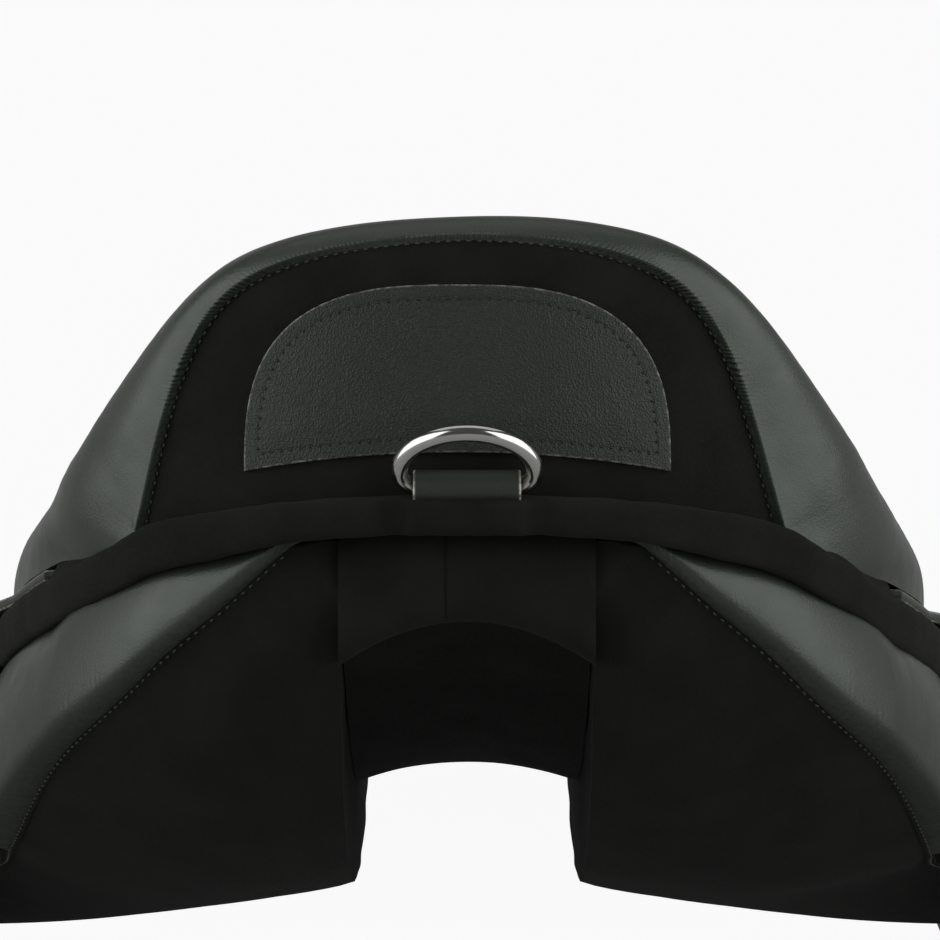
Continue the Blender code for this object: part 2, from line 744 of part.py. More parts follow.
def rounded(z, bottom, line, middle):
    """Edge line of a hanging leather, drawn in to a round lower end."""
    start = bottom + FLAP_ROUND
    share = np.clip((start - z) / FLAP_ROUND, 0, 0.997)
    keep = (1 - share**2.5) ** 0.4
    return middle + (line - middle) * keep


def flap_front(z, bottom=FLAP_BOTTOM_Z):
    levels = [-0.300, -0.150, -0.060, 0.010, 0.060, 0.120]
    return rounded(z, bottom, cubic(levels, [0.148, 0.196, 0.212, 0.207, 0.186, 0.140], z), 0.045)


def flap_rear(z, bottom=FLAP_BOTTOM_Z):
    levels = [-0.300, -0.150, -0.050, 0.020, 0.060]
    return rounded(z, bottom, cubic(levels, [-0.072, -0.080, -0.092, -0.100, -0.102], z), 0.045)


def knee_room(y, z):
    """How far the flap stands out over the knee block."""
    return KNEE_ROOM * smooth((y - 0.105) / 0.040) * smooth((0.030 - z) / 0.045)


def flap_x(y, z):
    """Inner face of the flap, which stands off the girth straps."""
    stand = FLAP_STAND_OFF * smooth((edge_at(y)[1] - z - 0.006) / 0.045)
    return side_x(y, z) + stand + knee_room(y, z)


def hung_levels(top, bottom):
    """Shares of a hanging leather's height, closer together round its lower end."""
    turn = 1 - FLAP_ROUND / (top - bottom)
    lower = turn + (1 - turn) * np.sin(np.linspace(0, math.pi / 2, 8))
    return np.concatenate([turn * np.linspace(0, 1, 7)[:-1] ** 1.4, lower])


def hung_row(level, shares, rear, front, outer):
    """Points across a hanging leather at one level; level gives a height for a place y."""
    row = []
    for share in shares:
        y = 0.03
        z = 0.0
        for _ in range(8):
            z = float(level(y))
            y = float(rear(z, y)) * (1 - share) + float(front(z, y)) * share
        row.append((float(outer(y, z)), y, z))
    return row


def flap_top(side, word):
    """Upper flap: nailed under the tree, and down to the line where the flap bends."""
    def rear(z, y):
        return flap_rear(min(z, 0.055))[0]

    def front(z, y):
        return min(flap_front(z)[0], 0.128 + 1.2 * max(edge_at(y)[1] - z - 0.011, 0))

    shares = np.linspace(0, 1, 11)
    rows = []
    for drop, reach in ((0.0109, -0.027), (0.0109, -0.014), (0.0118, -0.003)):
        rows.append(
            hung_row(
                lambda y, d=drop: edge_at(y)[1] - d,
                shares,
                rear,
                front,
                lambda y, z, r=reach: edge_at(y)[0] + r,
            )
        )
    for part in np.linspace(0, 1, 7):
        rows.append(
            hung_row(
                lambda y, p=part: (edge_at(y)[1] - 0.0155) * (1 - p) + (FLAP_BEND_Z + 0.0003) * p,
                shares,
                rear,
                front,
                lambda y, z: flap_x(y, z) + FLAP_THICKNESS / 2,
            )
        )
    leather(f"flap_top_{word}", flip(np.array(rows), side), FLAP_THICKNESS, LEATHER)


def flap(side, word):
    """Flap below its bending line, where a rider lifts it."""
    rows = []
    for part in hung_levels(FLAP_BEND_Z, FLAP_BOTTOM_Z):
        z = FLAP_BEND_Z - 0.0003 + (FLAP_BOTTOM_Z - FLAP_BEND_Z + 0.0003) * part
        rows.append(
            hung_row(
                lambda y, level=z: level,
                np.linspace(0, 1, 11),
                lambda z, y: flap_rear(z)[0],
                lambda z, y: flap_front(z)[0],
                lambda y, z: flap_x(y, z) + FLAP_THICKNESS / 2,
            )
        )
    rows = np.array(rows)
    hinge = (side * (rows[0, :, 0].max() + FLAP_THICKNESS / 2), 0.060, FLAP_BEND_Z)
    leather(f"flap_{word}", flip(rows, side), FLAP_THICKNESS, LEATHER, hinge)


def sweat_flap(side, word):
    def rear(z, y):
        return flap_rear(min(z, 0.05), SWEAT_FLAP_BOTTOM_Z)[0] + 0.020

    def front(z, y):
        below_top = max(edge_at(y)[1] - z - 0.034, 0)
        return min(flap_front(z, SWEAT_FLAP_BOTTOM_Z)[0] - 0.022, 0.150 + 1.2 * below_top)

    rows = []
    for part in hung_levels(0.040, SWEAT_FLAP_BOTTOM_Z):
        rows.append(
            hung_row(
                lambda y, p=part: (edge_at(y)[1] - 0.034) * (1 - p) + SWEAT_FLAP_BOTTOM_Z * p,
                np.linspace(0, 1, 10),
                rear,
                front,
                lambda y, z: side_x(y, z) + SWEAT_FLAP_THICKNESS / 2,
            )
        )
    leather(f"sweat_flap_{word}", flip(np.array(rows), side), SWEAT_FLAP_THICKNESS, LEATHER)


def skirt_depth(y):
    """Length of the skirt below the seam: a thin tail, the apron, then a rounded front."""
    rise = smooth((y + 0.125) / 0.160)
    fall = 1 - 0.55 * smooth((y - 0.085) / 0.062)
    return SKIRT_TAIL + (SKIRT_DEPTH - SKIRT_TAIL) * rise * fall


# How far down, how far off the flap and how much of the bar's swell, along the fall of the skirt.
SKIRT_HANG = ((0.020, 0.015, 1.0), (0.045, 0.022, 0.5), (0.080, 0.023, 0.2), (0.150, 0.023, 0.0))


def skirt_rows():
    columns = []
    for y in np.linspace(-0.163, 0.150, 23):
        edge_x, edge_z = (float(v) for v in edge_at(y))
        whole = smooth((y + 0.114) / 0.030)
        swell = 0.0195 * smooth((y + 0.030) / 0.035) * smooth((0.152 - y) / 0.030)
        path = [(edge_x - 0.0072, edge_z - 0.0027), (edge_x + 0.002, edge_z - 0.0030)]
        for drop, stand, lift in SKIRT_HANG:
            out = float(side_x(y, edge_z - drop) + knee_room(y, edge_z - drop)) + stand + swell * lift
            far = 0.002 + 0.6 * drop
            path.append(
                (out * whole + (edge_x + far) * (1 - whole), edge_z - drop * whole - 0.0036 * (1 - whole))
            )
        path = np.array([(x, y, z) for x, z in path])
        knots = chord(path)
        reach = 0.0093 + float(skirt_depth(y))
        columns.append(cubic(knots, path, reach * np.linspace(0, 1, 6) ** 1.2))
    return np.array(columns)


def skirt(side, word):
    leather(f"skirt_{word}", flip(skirt_rows(), side), SKIRT_THICKNESS, LEATHER)


def saddle_nail(side, word):
    """Domed head at the front of the skirt."""
    grid = skirt_rows()
    place, square = grid[-3, 3], face_directions(grid)[-3, 3]
    if square[0] < 0:
        square = -square
    first = np.cross(square, (0, 0, 1))
    first /= np.linalg.norm(first)
    second = np.cross(square, first)
    seat = place + square * (SKIRT_THICKNESS / 2 + GAP)
    turn = np.linspace(0, 2 * math.pi, 14, endpoint=False)
    sections = []
    for radius, lift in ((1.0, 0.0), (1.0, 0.12), (0.86, 0.30), (0.62, 0.45), (0.32, 0.54), (0.06, 0.57)):
        size = radius * NAIL_DIAMETER / 2
        centre = seat + square * lift * NAIL_DIAMETER / 2
        sections.append([centre + (first * math.cos(a) + second * math.sin(a)) * size for a in turn])
    tube(f"saddle_nail_{word}", flip(np.array(sections), side), CHROME)


def block(side, word, kind, ends, middle, half_width, thickness):
    """Padded block glued to the sweat flap, thickest in its middle."""
    top, low = ends
    sections = []
    turn = np.linspace(0, math.pi, 7)
    for part in np.linspace(0.02, 0.98, 10):
        z = top + (low - top) * part
        size = math.sin(math.pi * part) ** 0.45
        centre = middle + (flap_front(z)[0] - 0.214 if kind == "knee" else 0.0)
        section = []
        for a in turn:
            y = centre + half_width * size * math.cos(a)
            lift = thickness * size * math.sin(a)
            section.append((float(side_x(y, z)) + SWEAT_FLAP_THICKNESS + 2 * GAP + lift, y, z))
        sections.append(section)
    tube(f"{kind}_block_{word}", flip(np.array(sections), side), LEATHER)


def girth_strap(side, word, number):
    """Buckle strap with punched holes, hung from the tree webs under the flap."""
    middle = 0.026 + (number - 2) * STRAP_PITCH
    top = float(edge_at(middle)[1]) - 0.044
    rows = []
    fall = STRAP_BOTTOM_Z + 0.012 - top
    levels = list(top + fall * np.linspace(0, 1, 9) ** 1.5) + [STRAP_BOTTOM_Z]
    for z in levels:
        half = STRAP_WIDTH / 2 * (0.45 if z == STRAP_BOTTOM_Z else 1.0)
        stand = STRAP_STAND_OFF + STRAP_THICKNESS / 2
        rows.append([(float(side_x(y, z)) + stand, y, z) for y in (middle - half, middle + half)])
    piece = leather(f"girth_strap_{word}_{number}", flip(np.array(rows), side), STRAP_THICKNESS, LEATHER)
    work = bmesh.new()
    for hole in range(STRAP_HOLES):
        z = STRAP_BOTTOM_Z + 0.030 + hole * STRAP_HOLE_PITCH
        x = side * (float(side_x(middle, z)) + STRAP_STAND_OFF)
        made = bmesh.ops.create_cone(
            work,
            cap_ends=True,
            segments=8,
            radius1=STRAP_HOLE_DIAMETER / 2,
            radius2=STRAP_HOLE_DIAMETER / 2,
            depth=0.02,
        )["verts"]
        bmesh.ops.rotate(work, verts=made, cent=(0, 0, 0), matrix=QUARTER_TURN)
        bmesh.ops.translate(work, verts=made, vec=(x, middle, z))
    mesh = bpy.data.meshes.new(f"strap_holes_{word}_{number}")
    work.to_mesh(mesh)
    work.free()
    cut(piece, hidden(f"strap_holes_{word}_{number}", mesh))


QUARTER_TURN = Matrix(((0, 0, 1), (0, 1, 0), (-1, 0, 0)))


# Tree


def tree_sections(at, inset, width, low, high):
    base, away = rail(BASE, at), outward(at)
    sections = []
    for point, out in zip(base, away):
        near, far = point - out * inset, point - out * (inset + width)
        sections.append([near + (0, 0, low), near + (0, 0, high), far + (0, 0, high), far + (0, 0, low)])
    return np.array(sections)


def tree():
    at = np.linspace(0, KNOTS[-1], 25)
    half = tree_sections(at, TREE_INSET, TREE_WIDTH, -TREE_BELOW_EDGE, TREE_HEIGHT - TREE_BELOW_EDGE)
    half[0, :, 0] = 0
    half[-1, :, 0] = 0
    tube("tree", np.concatenate([half, flip(half[-2:0:-1], -1)]), BEECH, closed=True)


def tree_cantle():
    """Upright board of the tree, inside the cantle."""
    rows = []
    lift = TREE_HEIGHT - TREE_BELOW_EDGE + GAP
    for x in 0.068 * np.sin(np.linspace(-math.pi / 2, math.pi / 2, 25)):
        low = base_height(x) + lift
        top = max(seam_height(x) - 0.007, low + 0.004)
        rows.append([(x, cantle_back_y(x) + FACING_THICKNESS + 2.5 * GAP, z) for z in (low, top)])
    grid = np.array(rows)
    between("tree_cantle", grid, grid + (0, 0.007, 0), BEECH)


def tree_spring(side, word):
    at = np.linspace(where_y(-0.165), where_y(0.135), 15)
    low = TREE_HEIGHT - TREE_BELOW_EDGE + 1.5 * GAP
    inset = TREE_INSET + (TREE_WIDTH - SPRING_WIDTH) / 2
    sections = tree_sections(at, inset, SPRING_WIDTH, low, low + SPRING_THICKNESS)
    tube(f"tree_spring_{word}", flip(sections, side), SPRING_STEEL)


def head_plate():
    """Steel arch under the head of the tree, with a leg down each side."""
    y = 0.150
    edge_x, edge_z = (float(v) for v in edge_at(y))
    under = edge_z - TREE_BELOW_EDGE - GAP - HEAD_PLATE_THICKNESS / 2
    half = [(0.0, under + 0.016), (0.014, under + 0.012), (0.028, under), (edge_x - 0.010, under - 0.001)]
    for z in (edge_z - 0.030, edge_z - 0.055, edge_z - 0.080):
        half.append((float(side_x(y, z)) - 0.0090, z))
    right = along(np.array([(x, 0.0, z) for x, z in half]), 16)
    path = np.concatenate([flip(right[:0:-1], -1), right])
    run = np.gradient(path, axis=0)
    square = np.stack([-run[:, 2], 0 * run[:, 0], run[:, 0]], axis=1)
    square *= HEAD_PLATE_THICKNESS / 2 / np.linalg.norm(square, axis=1, keepdims=True)
    reach = HEAD_PLATE_WIDTH / 2
    slope = float(edge_at(y + reach)[1] - edge_at(y - reach)[1]) / 2
    near = np.array((0, y - reach, -slope))
    far = np.array((0, y + reach, slope))
    above, below = path + square, path - square
    sections = np.stack([above + near, above + far, below + far, below + near], axis=1)
    tube("head_plate", sections, SPRING_STEEL)


# Metalwork and its leather loops


def bar_place(y, out, drop):
    edge_x, edge_z = edge_at(y)
    return np.array((float(edge_x) + out, y, float(edge_z) - drop))


def rod_place(y):
    """Place on the straight open rod of the stirrup bar, or on its line beyond the rod."""
    rear = bar_place(BAR_REAR_Y, BAR_OUT, BAR_DROP)
    front = bar_place(BAR_FRONT_Y - 0.007, BAR_OUT, BAR_DROP)
    return rear + (front - rear) * (y - rear[1]) / (front[1] - rear[1])


def stirrup_bar(side, word):
    """Forged bar: a foot along the tree, a turn at the front, then the open rod."""
    half = BAR_DIAMETER / 2
    foot = np.linspace(BAR_REAR_Y, BAR_FRONT_Y - 0.012, 5)
    stops = [(bar_place(y, -0.0040, 0.0064), 0.0031, 0.0014) for y in foot]
    stops += [
        (bar_place(BAR_FRONT_Y - 0.004, -0.0020, 0.0066), 0.0032, 0.0014),
        (bar_place(BAR_FRONT_Y + 0.001, 0.0050, 0.0088), 0.0040, 0.0013),
        (bar_place(BAR_FRONT_Y + 0.003, 0.0130, 0.0112), 0.0042, 0.0012),
        (bar_place(BAR_FRONT_Y, 0.0215, 0.0153), 0.0038, 0.0020),
    ]
    stops += [(rod_place(y), half, half) for y in np.linspace(BAR_FRONT_Y - 0.007, BAR_REAR_Y, 5)]
    path = np.array([stop[0] for stop in stops])
    run = np.gradient(path, axis=0)
    run /= np.linalg.norm(run, axis=1, keepdims=True)
    level = np.cross(run, (0, 0, 1))
    level /= np.linalg.norm(level, axis=1, keepdims=True)
    rise = np.cross(level, run)
    turn = np.linspace(0, 2 * math.pi, 10, endpoint=False)
    sections = []
    for i, (centre, wide, tall) in enumerate(stops):
        sections.append(
            [centre + level[i] * wide * math.cos(a) + rise[i] * tall * math.sin(a) for a in turn]
        )
    tube(f"stirrup_bar_{word}", flip(np.array(sections), side), STEEL)


def bar_catch(side, word):
    """Safety catch: a round knuckle at the open end of the bar, then a thumb piece."""
    knuckle = 0.46 * BAR_DIAMETER
    pin = BAR_REAR_Y - knuckle - GAP
    stops = [(-knuckle * math.cos(a), knuckle * math.sin(a)) for a in np.radians((12, 36, 62, 90))]
    stops += [(0.006, 0.90 * knuckle), (0.011, 0.78 * knuckle), (0.0135, 0.42 * knuckle)]
    turn = np.linspace(0, 2 * math.pi, 10, endpoint=False)
    sections = []
    for back, radius in stops:
        ring_points = [(math.cos(a), 0, math.sin(a)) for a in turn]
        sections.append(rod_place(pin - back) + radius * np.array(ring_points))
    hinge = flip(rod_place(pin), side)
    tube(f"bar_catch_{word}", flip(np.array(sections), side), STEEL, hinge)


def loop_contours(centre, wire, thickness, tail, slack=LOOP_SLACK):
    """Leather turned round a bar: matching outer and inner outlines in the plane across it."""
    centre, tail = np.asarray(centre, float), np.asarray(tail, float)
    along_tail = (tail - centre) / np.linalg.norm(tail - centre)
    across = np.array((-along_tail[1], along_tail[0]))
    inner_radius = wire / 2 + slack
    outer_radius = inner_radius + thickness
    angles = np.radians(np.linspace(62, 298, 13))
    circle = [along_tail * math.cos(a) + across * math.sin(a) for a in angles]
    outer = [centre + outer_radius * c for c in circle]
    outer += [tail - across * thickness, tail + across * thickness]
    inner = [centre + inner_radius * c for c in circle]
    inner += [
        centre + inner_radius * (along_tail * math.cos(a) + across * math.sin(a))
        for a in np.radians((333, 27))
    ]
    return np.array(outer), np.array(inner)


def sleeve(name, outer, inner, width, place, along_bar, out, material):
    """Solid loop of a width along a bar, from outlines in (out, up) axes."""
    along_bar, out = np.asarray(along_bar, float), np.asarray(out, float)
    up = np.array((0, 0, 1.0))
    count = len(outer)
    points = []
    for end in (-width / 2, width / 2):
        for outline in (outer, inner):
            points += [place + along_bar * end + out * p[0] + up * p[1] for p in outline]
    faces = []
    for i in range(count):
        j = (i + 1) % count
        faces.append([i, j, 2 * count + j, 2 * count + i])
        faces.append([count + i, count + j, 3 * count + j, 3 * count + i])
        faces.append([i, j, count + j, count + i])
        faces.append([2 * count + i, 2 * count + j, 3 * count + j, 3 * count + i])
    solid(name, points, faces, material)


DEE_OUT = DEE_WIRE / 2 + CHAPE_THICKNESS + LOOP_SLACK + GAP
DEE_LIFT = 0.0024


def cantle_dee():
    """Chrome dee standing off the patch, and the leather loop that holds its bar."""
    pivot = np.array((0, CANTLE_BACK_Y - DEE_OUT, BASE_REAR_Z + DEE_LIFT))
    rise = np.array((0, -math.sin(DEE_TILT), math.cos(DEE_TILT)))
    flat = np.array((0, math.cos(DEE_TILT), math.sin(DEE_TILT)))
    path = [pivot + np.array((1, 0, 0)) * x + rise * z for x, z in dee_path(DEE_WIDTH, DEE_HEIGHT)]
    ring("cantle_dee", path, DEE_WIRE, flat, CHROME, pivot)
    outer, inner = loop_contours((DEE_OUT, DEE_LIFT), DEE_WIRE, CHAPE_THICKNESS, (0.0021, -0.0090))
    place = np.array((0, CANTLE_BACK_Y, BASE_REAR_Z))
    sleeve("cantle_dee_chape", outer, inner, CHAPE_WIDTH, place, (1, 0, 0), (0, -1, 0), LEATHER)


def front_dee(side, word):
    """Small dee below the pommel, hung from a loop under the seat edge."""
    at = np.atleast_1d(where_y(0.162))
    place, out = rail(BASE, at)[0], outward(at)[0]
    bar = np.cross((0, 0, 1), out)
    pivot = place + out * 0.0105 - (0, 0, 0.0085)
    hang = math.radians(38)
    fall = out * math.sin(hang) - np.array((0, 0, math.cos(hang)))
    flat = np.cross(bar, fall)
    path = [pivot + bar * x + fall * z for x, z in dee_path(FRONT_DEE_WIDTH, FRONT_DEE_HEIGHT)]
    flat = flip(flat, side) * side
    ring(f"front_dee_{word}", flip(path, side), FRONT_DEE_WIRE, flat, CHROME, flip(pivot, side))
    outer, inner = loop_contours((0.0105, -0.0085), FRONT_DEE_WIRE, 0.0016, (-0.0060, -0.0046))
    place, bar, out = flip(place, side), flip(bar, side), flip(out, side)
    sleeve(f"front_dee_chape_{word}", outer, inner, 0.013, place, bar, out, LEATHER)


def clear():
    for piece in list(bpy.data.objects):
        bpy.data.objects.remove(piece, do_unlink=True)


def main():
    clear()
    tree()
    tree_cantle()
    head_plate()
    seat_web()
    seat_foam()
    seat_cover()
    cantle_back_cover()
    cantle_patch()
    cantle_dee()
    rear_binding()
    pommel_binding()
    panel_bridge()
    gullet_lining()
    for side, word in ((1, "right"), (-1, "left")):
        tree_spring(side, word)
        stirrup_bar(side, word)
        bar_catch(side, word)
        panel(side, word)
        rear_gusset(side, word)
        sweat_flap(side, word)
        block(side, word, "knee", (0.012, -0.120), 0.170, 0.017, KNEE_BLOCK_THICKNESS)
        block(side, word, "thigh", (0.000, -0.090), -0.050, 0.012, THIGH_BLOCK_THICKNESS)
        for number in (1, 2, 3):
            girth_strap(side, word, number)
        flap_top(side, word)
        flap(side, word)
        skirt(side, word)
        saddle_nail(side, word)
        front_dee(side, word)


main()
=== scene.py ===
"""Looks of an English saddle: leather, suede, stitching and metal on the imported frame.

Units are metres. X runs across the horse, +Y forward, +Z up, as in the part.
"""

import math

import bmesh
import bpy
import numpy as np
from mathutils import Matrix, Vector
from mathutils.kdtree import KDTree


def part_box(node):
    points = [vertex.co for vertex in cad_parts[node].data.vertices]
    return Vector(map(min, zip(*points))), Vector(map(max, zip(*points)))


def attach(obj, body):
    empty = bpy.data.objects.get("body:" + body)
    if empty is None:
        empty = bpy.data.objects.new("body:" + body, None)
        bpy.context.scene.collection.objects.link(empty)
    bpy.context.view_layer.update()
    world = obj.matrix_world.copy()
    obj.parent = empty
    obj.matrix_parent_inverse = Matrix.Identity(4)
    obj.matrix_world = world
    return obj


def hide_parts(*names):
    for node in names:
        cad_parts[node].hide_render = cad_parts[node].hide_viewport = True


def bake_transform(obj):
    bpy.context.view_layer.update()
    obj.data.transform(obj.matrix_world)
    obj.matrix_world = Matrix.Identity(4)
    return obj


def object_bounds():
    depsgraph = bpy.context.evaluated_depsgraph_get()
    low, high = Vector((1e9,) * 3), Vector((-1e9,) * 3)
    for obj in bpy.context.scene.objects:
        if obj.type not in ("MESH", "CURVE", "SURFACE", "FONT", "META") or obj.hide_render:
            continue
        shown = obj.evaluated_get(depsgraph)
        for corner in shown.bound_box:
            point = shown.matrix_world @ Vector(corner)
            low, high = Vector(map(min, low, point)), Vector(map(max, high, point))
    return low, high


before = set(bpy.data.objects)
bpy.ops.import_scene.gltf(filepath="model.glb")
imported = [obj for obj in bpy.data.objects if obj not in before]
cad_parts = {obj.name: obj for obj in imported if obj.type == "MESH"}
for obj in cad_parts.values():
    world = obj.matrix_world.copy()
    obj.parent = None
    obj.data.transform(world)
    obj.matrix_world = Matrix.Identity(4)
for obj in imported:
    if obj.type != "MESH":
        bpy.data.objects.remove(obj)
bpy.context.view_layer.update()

# Seat plan and heights, read on the line where the seat leather meets the panels.
CANTLE_BACK_Y = -0.238
CORNER_HALF_WIDTH = 0.0875
CORNER_FORWARD = 0.027
SIDE_HALF_WIDTH = 0.119
SEAT_HALF_WIDTH = 0.138
THIGH_HALF_WIDTH = 0.125
WAIST_HALF_WIDTH = 0.099
HEAD_HALF_WIDTH = 0.072
POMMEL_HALF_WIDTH = 0.042
POMMEL_FRONT_Y = 0.212
BASE_REAR_Z = 0.114
CORNER_Z = 0.106
SEAT_EDGE_Z = 0.084
WAIST_EDGE_Z = 0.080
POMMEL_EDGE_Z = 0.134

# Cantle, pommel and the dip between them.
CANTLE_TOP_Z = 0.190
SEAM_BELOW_TOP = 0.006
ROLL_BULGE = 0.16
SEAT_DIP_Z = 0.112
POMMEL_TOP_Z = 0.157

# Leather and padding.
COVER_THICKNESS = 0.003
FACING_THICKNESS = 0.0025
PATCH_HALF_WIDTH = 0.058
PATCH_BASE_Z = 0.1213
PATCH_HEIGHT = 0.050
PATCH_ARCH = 0.0047
PATCH_ROUNDNESS = 2.9
PATCH_TOP_POINTS = 300
PATCH_FOOT_POINTS = 150
FLAP_THICKNESS = 0.0045
SKIRT_THICKNESS = 0.0035
SWEAT_FLAP_THICKNESS = 0.0035
GAP = 0.0004

# Bindings, with room in the rear one for the legs of the dee, and the panels.
BINDING_HEIGHT = 0.011
BINDING_DEPTH = 0.0145
BINDING_SIDE_DEPTH = 0.0080
BINDING_SLANT = 0.16
BINDING_FRONT_Y = -0.098
BINDING_LIP = 0.0054
BINDING_FORWARD_LIP = 0.0020
DEE_LEG_X = 0.0183
DEE_LEG_ROOM = 0.0036
DEE_LEG_DENT = 0.0034
POMMEL_BAND_HEIGHT = 0.0095
POMMEL_BAND_DEPTH = 0.0065
POMMEL_BAND_REAR_Y = 0.1735
GULLET_HALF_WIDTH = 0.0345
GULLET_ARCH = 0.006
LINING_THICKNESS = 0.002
BRIDGE_ARCH_Z = 0.081
BRIDGE_ARCH_DROP = 0.012
BRIDGE_DEPTH = 0.021
BRIDGE_SEAM_X = -0.0058
PANEL_REAR_X = 0.0395
PANEL_FRONT_Y = 0.188
PANEL_TUCK = 0.0025
PANEL_FRONT_TUCK = 0.0060
PANEL_UNDER_BAND = 0.0018
UNDERSIDE_CROWN = 0.008
GUSSET_BULGE = 0.003
GUSSET_THICKNESS = 0.0016
GUSSET_SWELL = 0.0042
GUSSET_FORWARD_SWELL = 0.0082
GUSSET_FRONT_Y = -0.072
GUSSET_TURN_IN = 0.0028
GUSSET_TURN_REACH = 0.0022
GUSSET_SINK = 0.0022

# Flaps, skirts and what lies under them.
FLAP_BOTTOM_Z = -0.290
FLAP_BEND_Z = -0.050
FLAP_STAND_OFF = 0.014
FLAP_ROUND = 0.110
FLAP_MIDDLE_Y = 0.045
SIDE_BLEND = 0.090
KNEE_ROOM = 0.012
SKIRT_REAR_Y = -0.163
SKIRT_FRONT_Y = 0.150
SKIRT_DEPTH = 0.118
SKIRT_TAIL = 0.001
SKIRT_TUCK = 0.0072
SKIRT_BAR_SWELL = 0.0195
SWEAT_FLAP_BOTTOM_Z = -0.240
SWEAT_FLAP_BELOW_EDGE = 0.034
STRAP_WIDTH = 0.027
STRAP_THICKNESS = 0.0036
STRAP_BELOW_EDGE = 0.044
STRAP_BOTTOM_Z = -0.215
STRAP_TIP = 0.014
STRAP_MIDDLE_Y = 0.026
STRAP_PITCH = 0.036
STRAP_STAND_OFF = 0.0068
STRAP_HOLES = 7
STRAP_HOLE_PITCH = 0.025
STRAP_HOLE_DIAMETER = 0.0045
STRAP_FIRST_HOLE = 0.030

# Padded blocks: heights of both ends, place along the saddle, half width and thickness.
KNEE_BLOCK = ((0.012, -0.120), 0.170, 0.017, 0.018)
THIGH_BLOCK = ((0.000, -0.090), -0.050, 0.012, 0.007)

# Metalwork and its leather loops; the tail of a loop lies (out, up) from the seat edge.
DEE_WIDTH = 0.0364
DEE_HEIGHT = 0.0205
DEE_WIRE = 0.0047
DEE_TILT = math.radians(47)
DEE_LIFT = 0.0024
CHAPE_WIDTH = 0.029
CHAPE_THICKNESS = 0.0015
CHAPE_TAIL = (0.0021, -0.0073)
LOOP_SLACK = 0.0009
DEE_OUT = DEE_WIRE / 2 + CHAPE_THICKNESS + LOOP_SLACK + GAP
FRONT_DEE_Y = 0.162
FRONT_DEE_WIDTH = 0.024
FRONT_DEE_HEIGHT = 0.020
FRONT_DEE_WIRE = 0.0036
FRONT_DEE_OUT = 0.0105
FRONT_DEE_LIFT = -0.0085
FRONT_DEE_HANG = math.radians(38)
FRONT_CHAPE_WIDTH = 0.013
FRONT_CHAPE_THICKNESS = 0.0016
FRONT_CHAPE_TAIL = (-0.0060, -0.0046)
NAIL_DIAMETER = 0.014

# How the sewn cantle back and the padding sit off the centre line.
LEAN = -0.0026
LEAN_FADE = 0.030
TILT = 0.00055
RIGHT_SET = 0.00155
SIDE_SHIFT = 0.0016
TAIL_SET = 0.0012

# Sewn leather: puckers, the valley and crest beside a seam, and the eased cantle corner.
PUCKER = 0.00024
PUCKER_PITCH = 0.0013
SEAM_DEPTH = 0.0009
SEAM_TURN = 0.0010
CREST = 0.0023
CREST_REACH = 0.014
FOLD_REACH = 0.0022
FLARE = 0.0010
FLARE_REACH = 0.007
APRON_REACH = 0.013
CORNER_EASE = 0.020
EASE_REACH = 0.030
EASE_SPREAD = 0.0055
GUSSET_PUCKER = 0.00034
GUSSET_PUCKER_PITCH = 0.0019
# Radius of the black cord in the gusset seam, which paints the shade of the seam's gap.
SHADE_CORD_RADIUS = 0.0006

# Thread: its radius, the length of a stitch and its distance from the rim.
THREAD = 0.00032
CANTLE_THREAD = 0.00024
PATCH_THREAD = 0.00046
GUSSET_THREAD = 0.00028
CANTLE_STITCH = 0.0028
PATCH_STITCH = 0.00275
PATCH_STITCH_INSET = 0.0038
GUSSET_STITCH = 0.0030
SKIRT_STITCH = 0.0036
SKIRT_STITCH_INSET = 0.0040

# Creased lines pressed into cut leather: distance from the rim.
FLAP_CREASE = 0.0042
SWEAT_FLAP_CREASE = 0.0045
STRAP_CREASE = 0.0028

SIDES = ((1, "right"), (-1, "left"))


def smooth(value):
    value = np.clip(value, 0.0, 1.0)
    return value * value * (3 - 2 * value)


def ramp(value, start, width):
    """Smooth rise from none at start to one past a width."""
    return smooth((value - start) / width)


def fade(distance, reach, power=2):
    """Fall from one at no distance to almost none past a reach."""
    return np.exp(-((distance / reach) ** power))


def cubic(knots, values, at):
    """Natural cubic spline through values at knots."""
    knots = np.asarray(knots, float)
    values = np.asarray(values, float)
    step = np.diff(knots)
    count = len(knots)
    system = np.eye(count)
    right = np.zeros_like(values)
    for i in range(1, count - 1):
        system[i, i - 1 : i + 2] = step[i - 1], 2 * (step[i - 1] + step[i]), step[i]
        rise = (values[i + 1] - values[i]) / step[i]
        right[i] = 6 * (rise - (values[i] - values[i - 1]) / step[i - 1])
    bend = np.linalg.solve(system, right)
    at = np.atleast_1d(np.asarray(at, float))
    k = np.clip(np.searchsorted(knots, at) - 1, 0, count - 2)
    left = at - knots[k]
    over = knots[k + 1] - at
    if values.ndim > 1:
        left, over, wide = left[:, None], over[:, None], step[k][:, None]
    else:
        wide = step[k]
    return (
        (bend[k] * over**3 + bend[k + 1] * left**3) / (6 * wide)
        + (values[k] / wide - bend[k] * wide / 6) * over
        + (values[k + 1] / wide - bend[k + 1] * wide / 6) * left
    )


def chord(points):
    """Running length along a polyline."""
    return np.concatenate([[0], np.cumsum(np.linalg.norm(np.diff(points, axis=0), axis=1))])


def flip(points, side):
    return np.asarray(points, float) * (side, 1, 1)


# Guide rails of the seat


def cantle_back_y(x):
    return CANTLE_BACK_Y + CORNER_FORWARD * (np.abs(x) / CORNER_HALF_WIDTH) ** 2.3


def on_back(x, z):
    return (x, cantle_back_y(x), z)


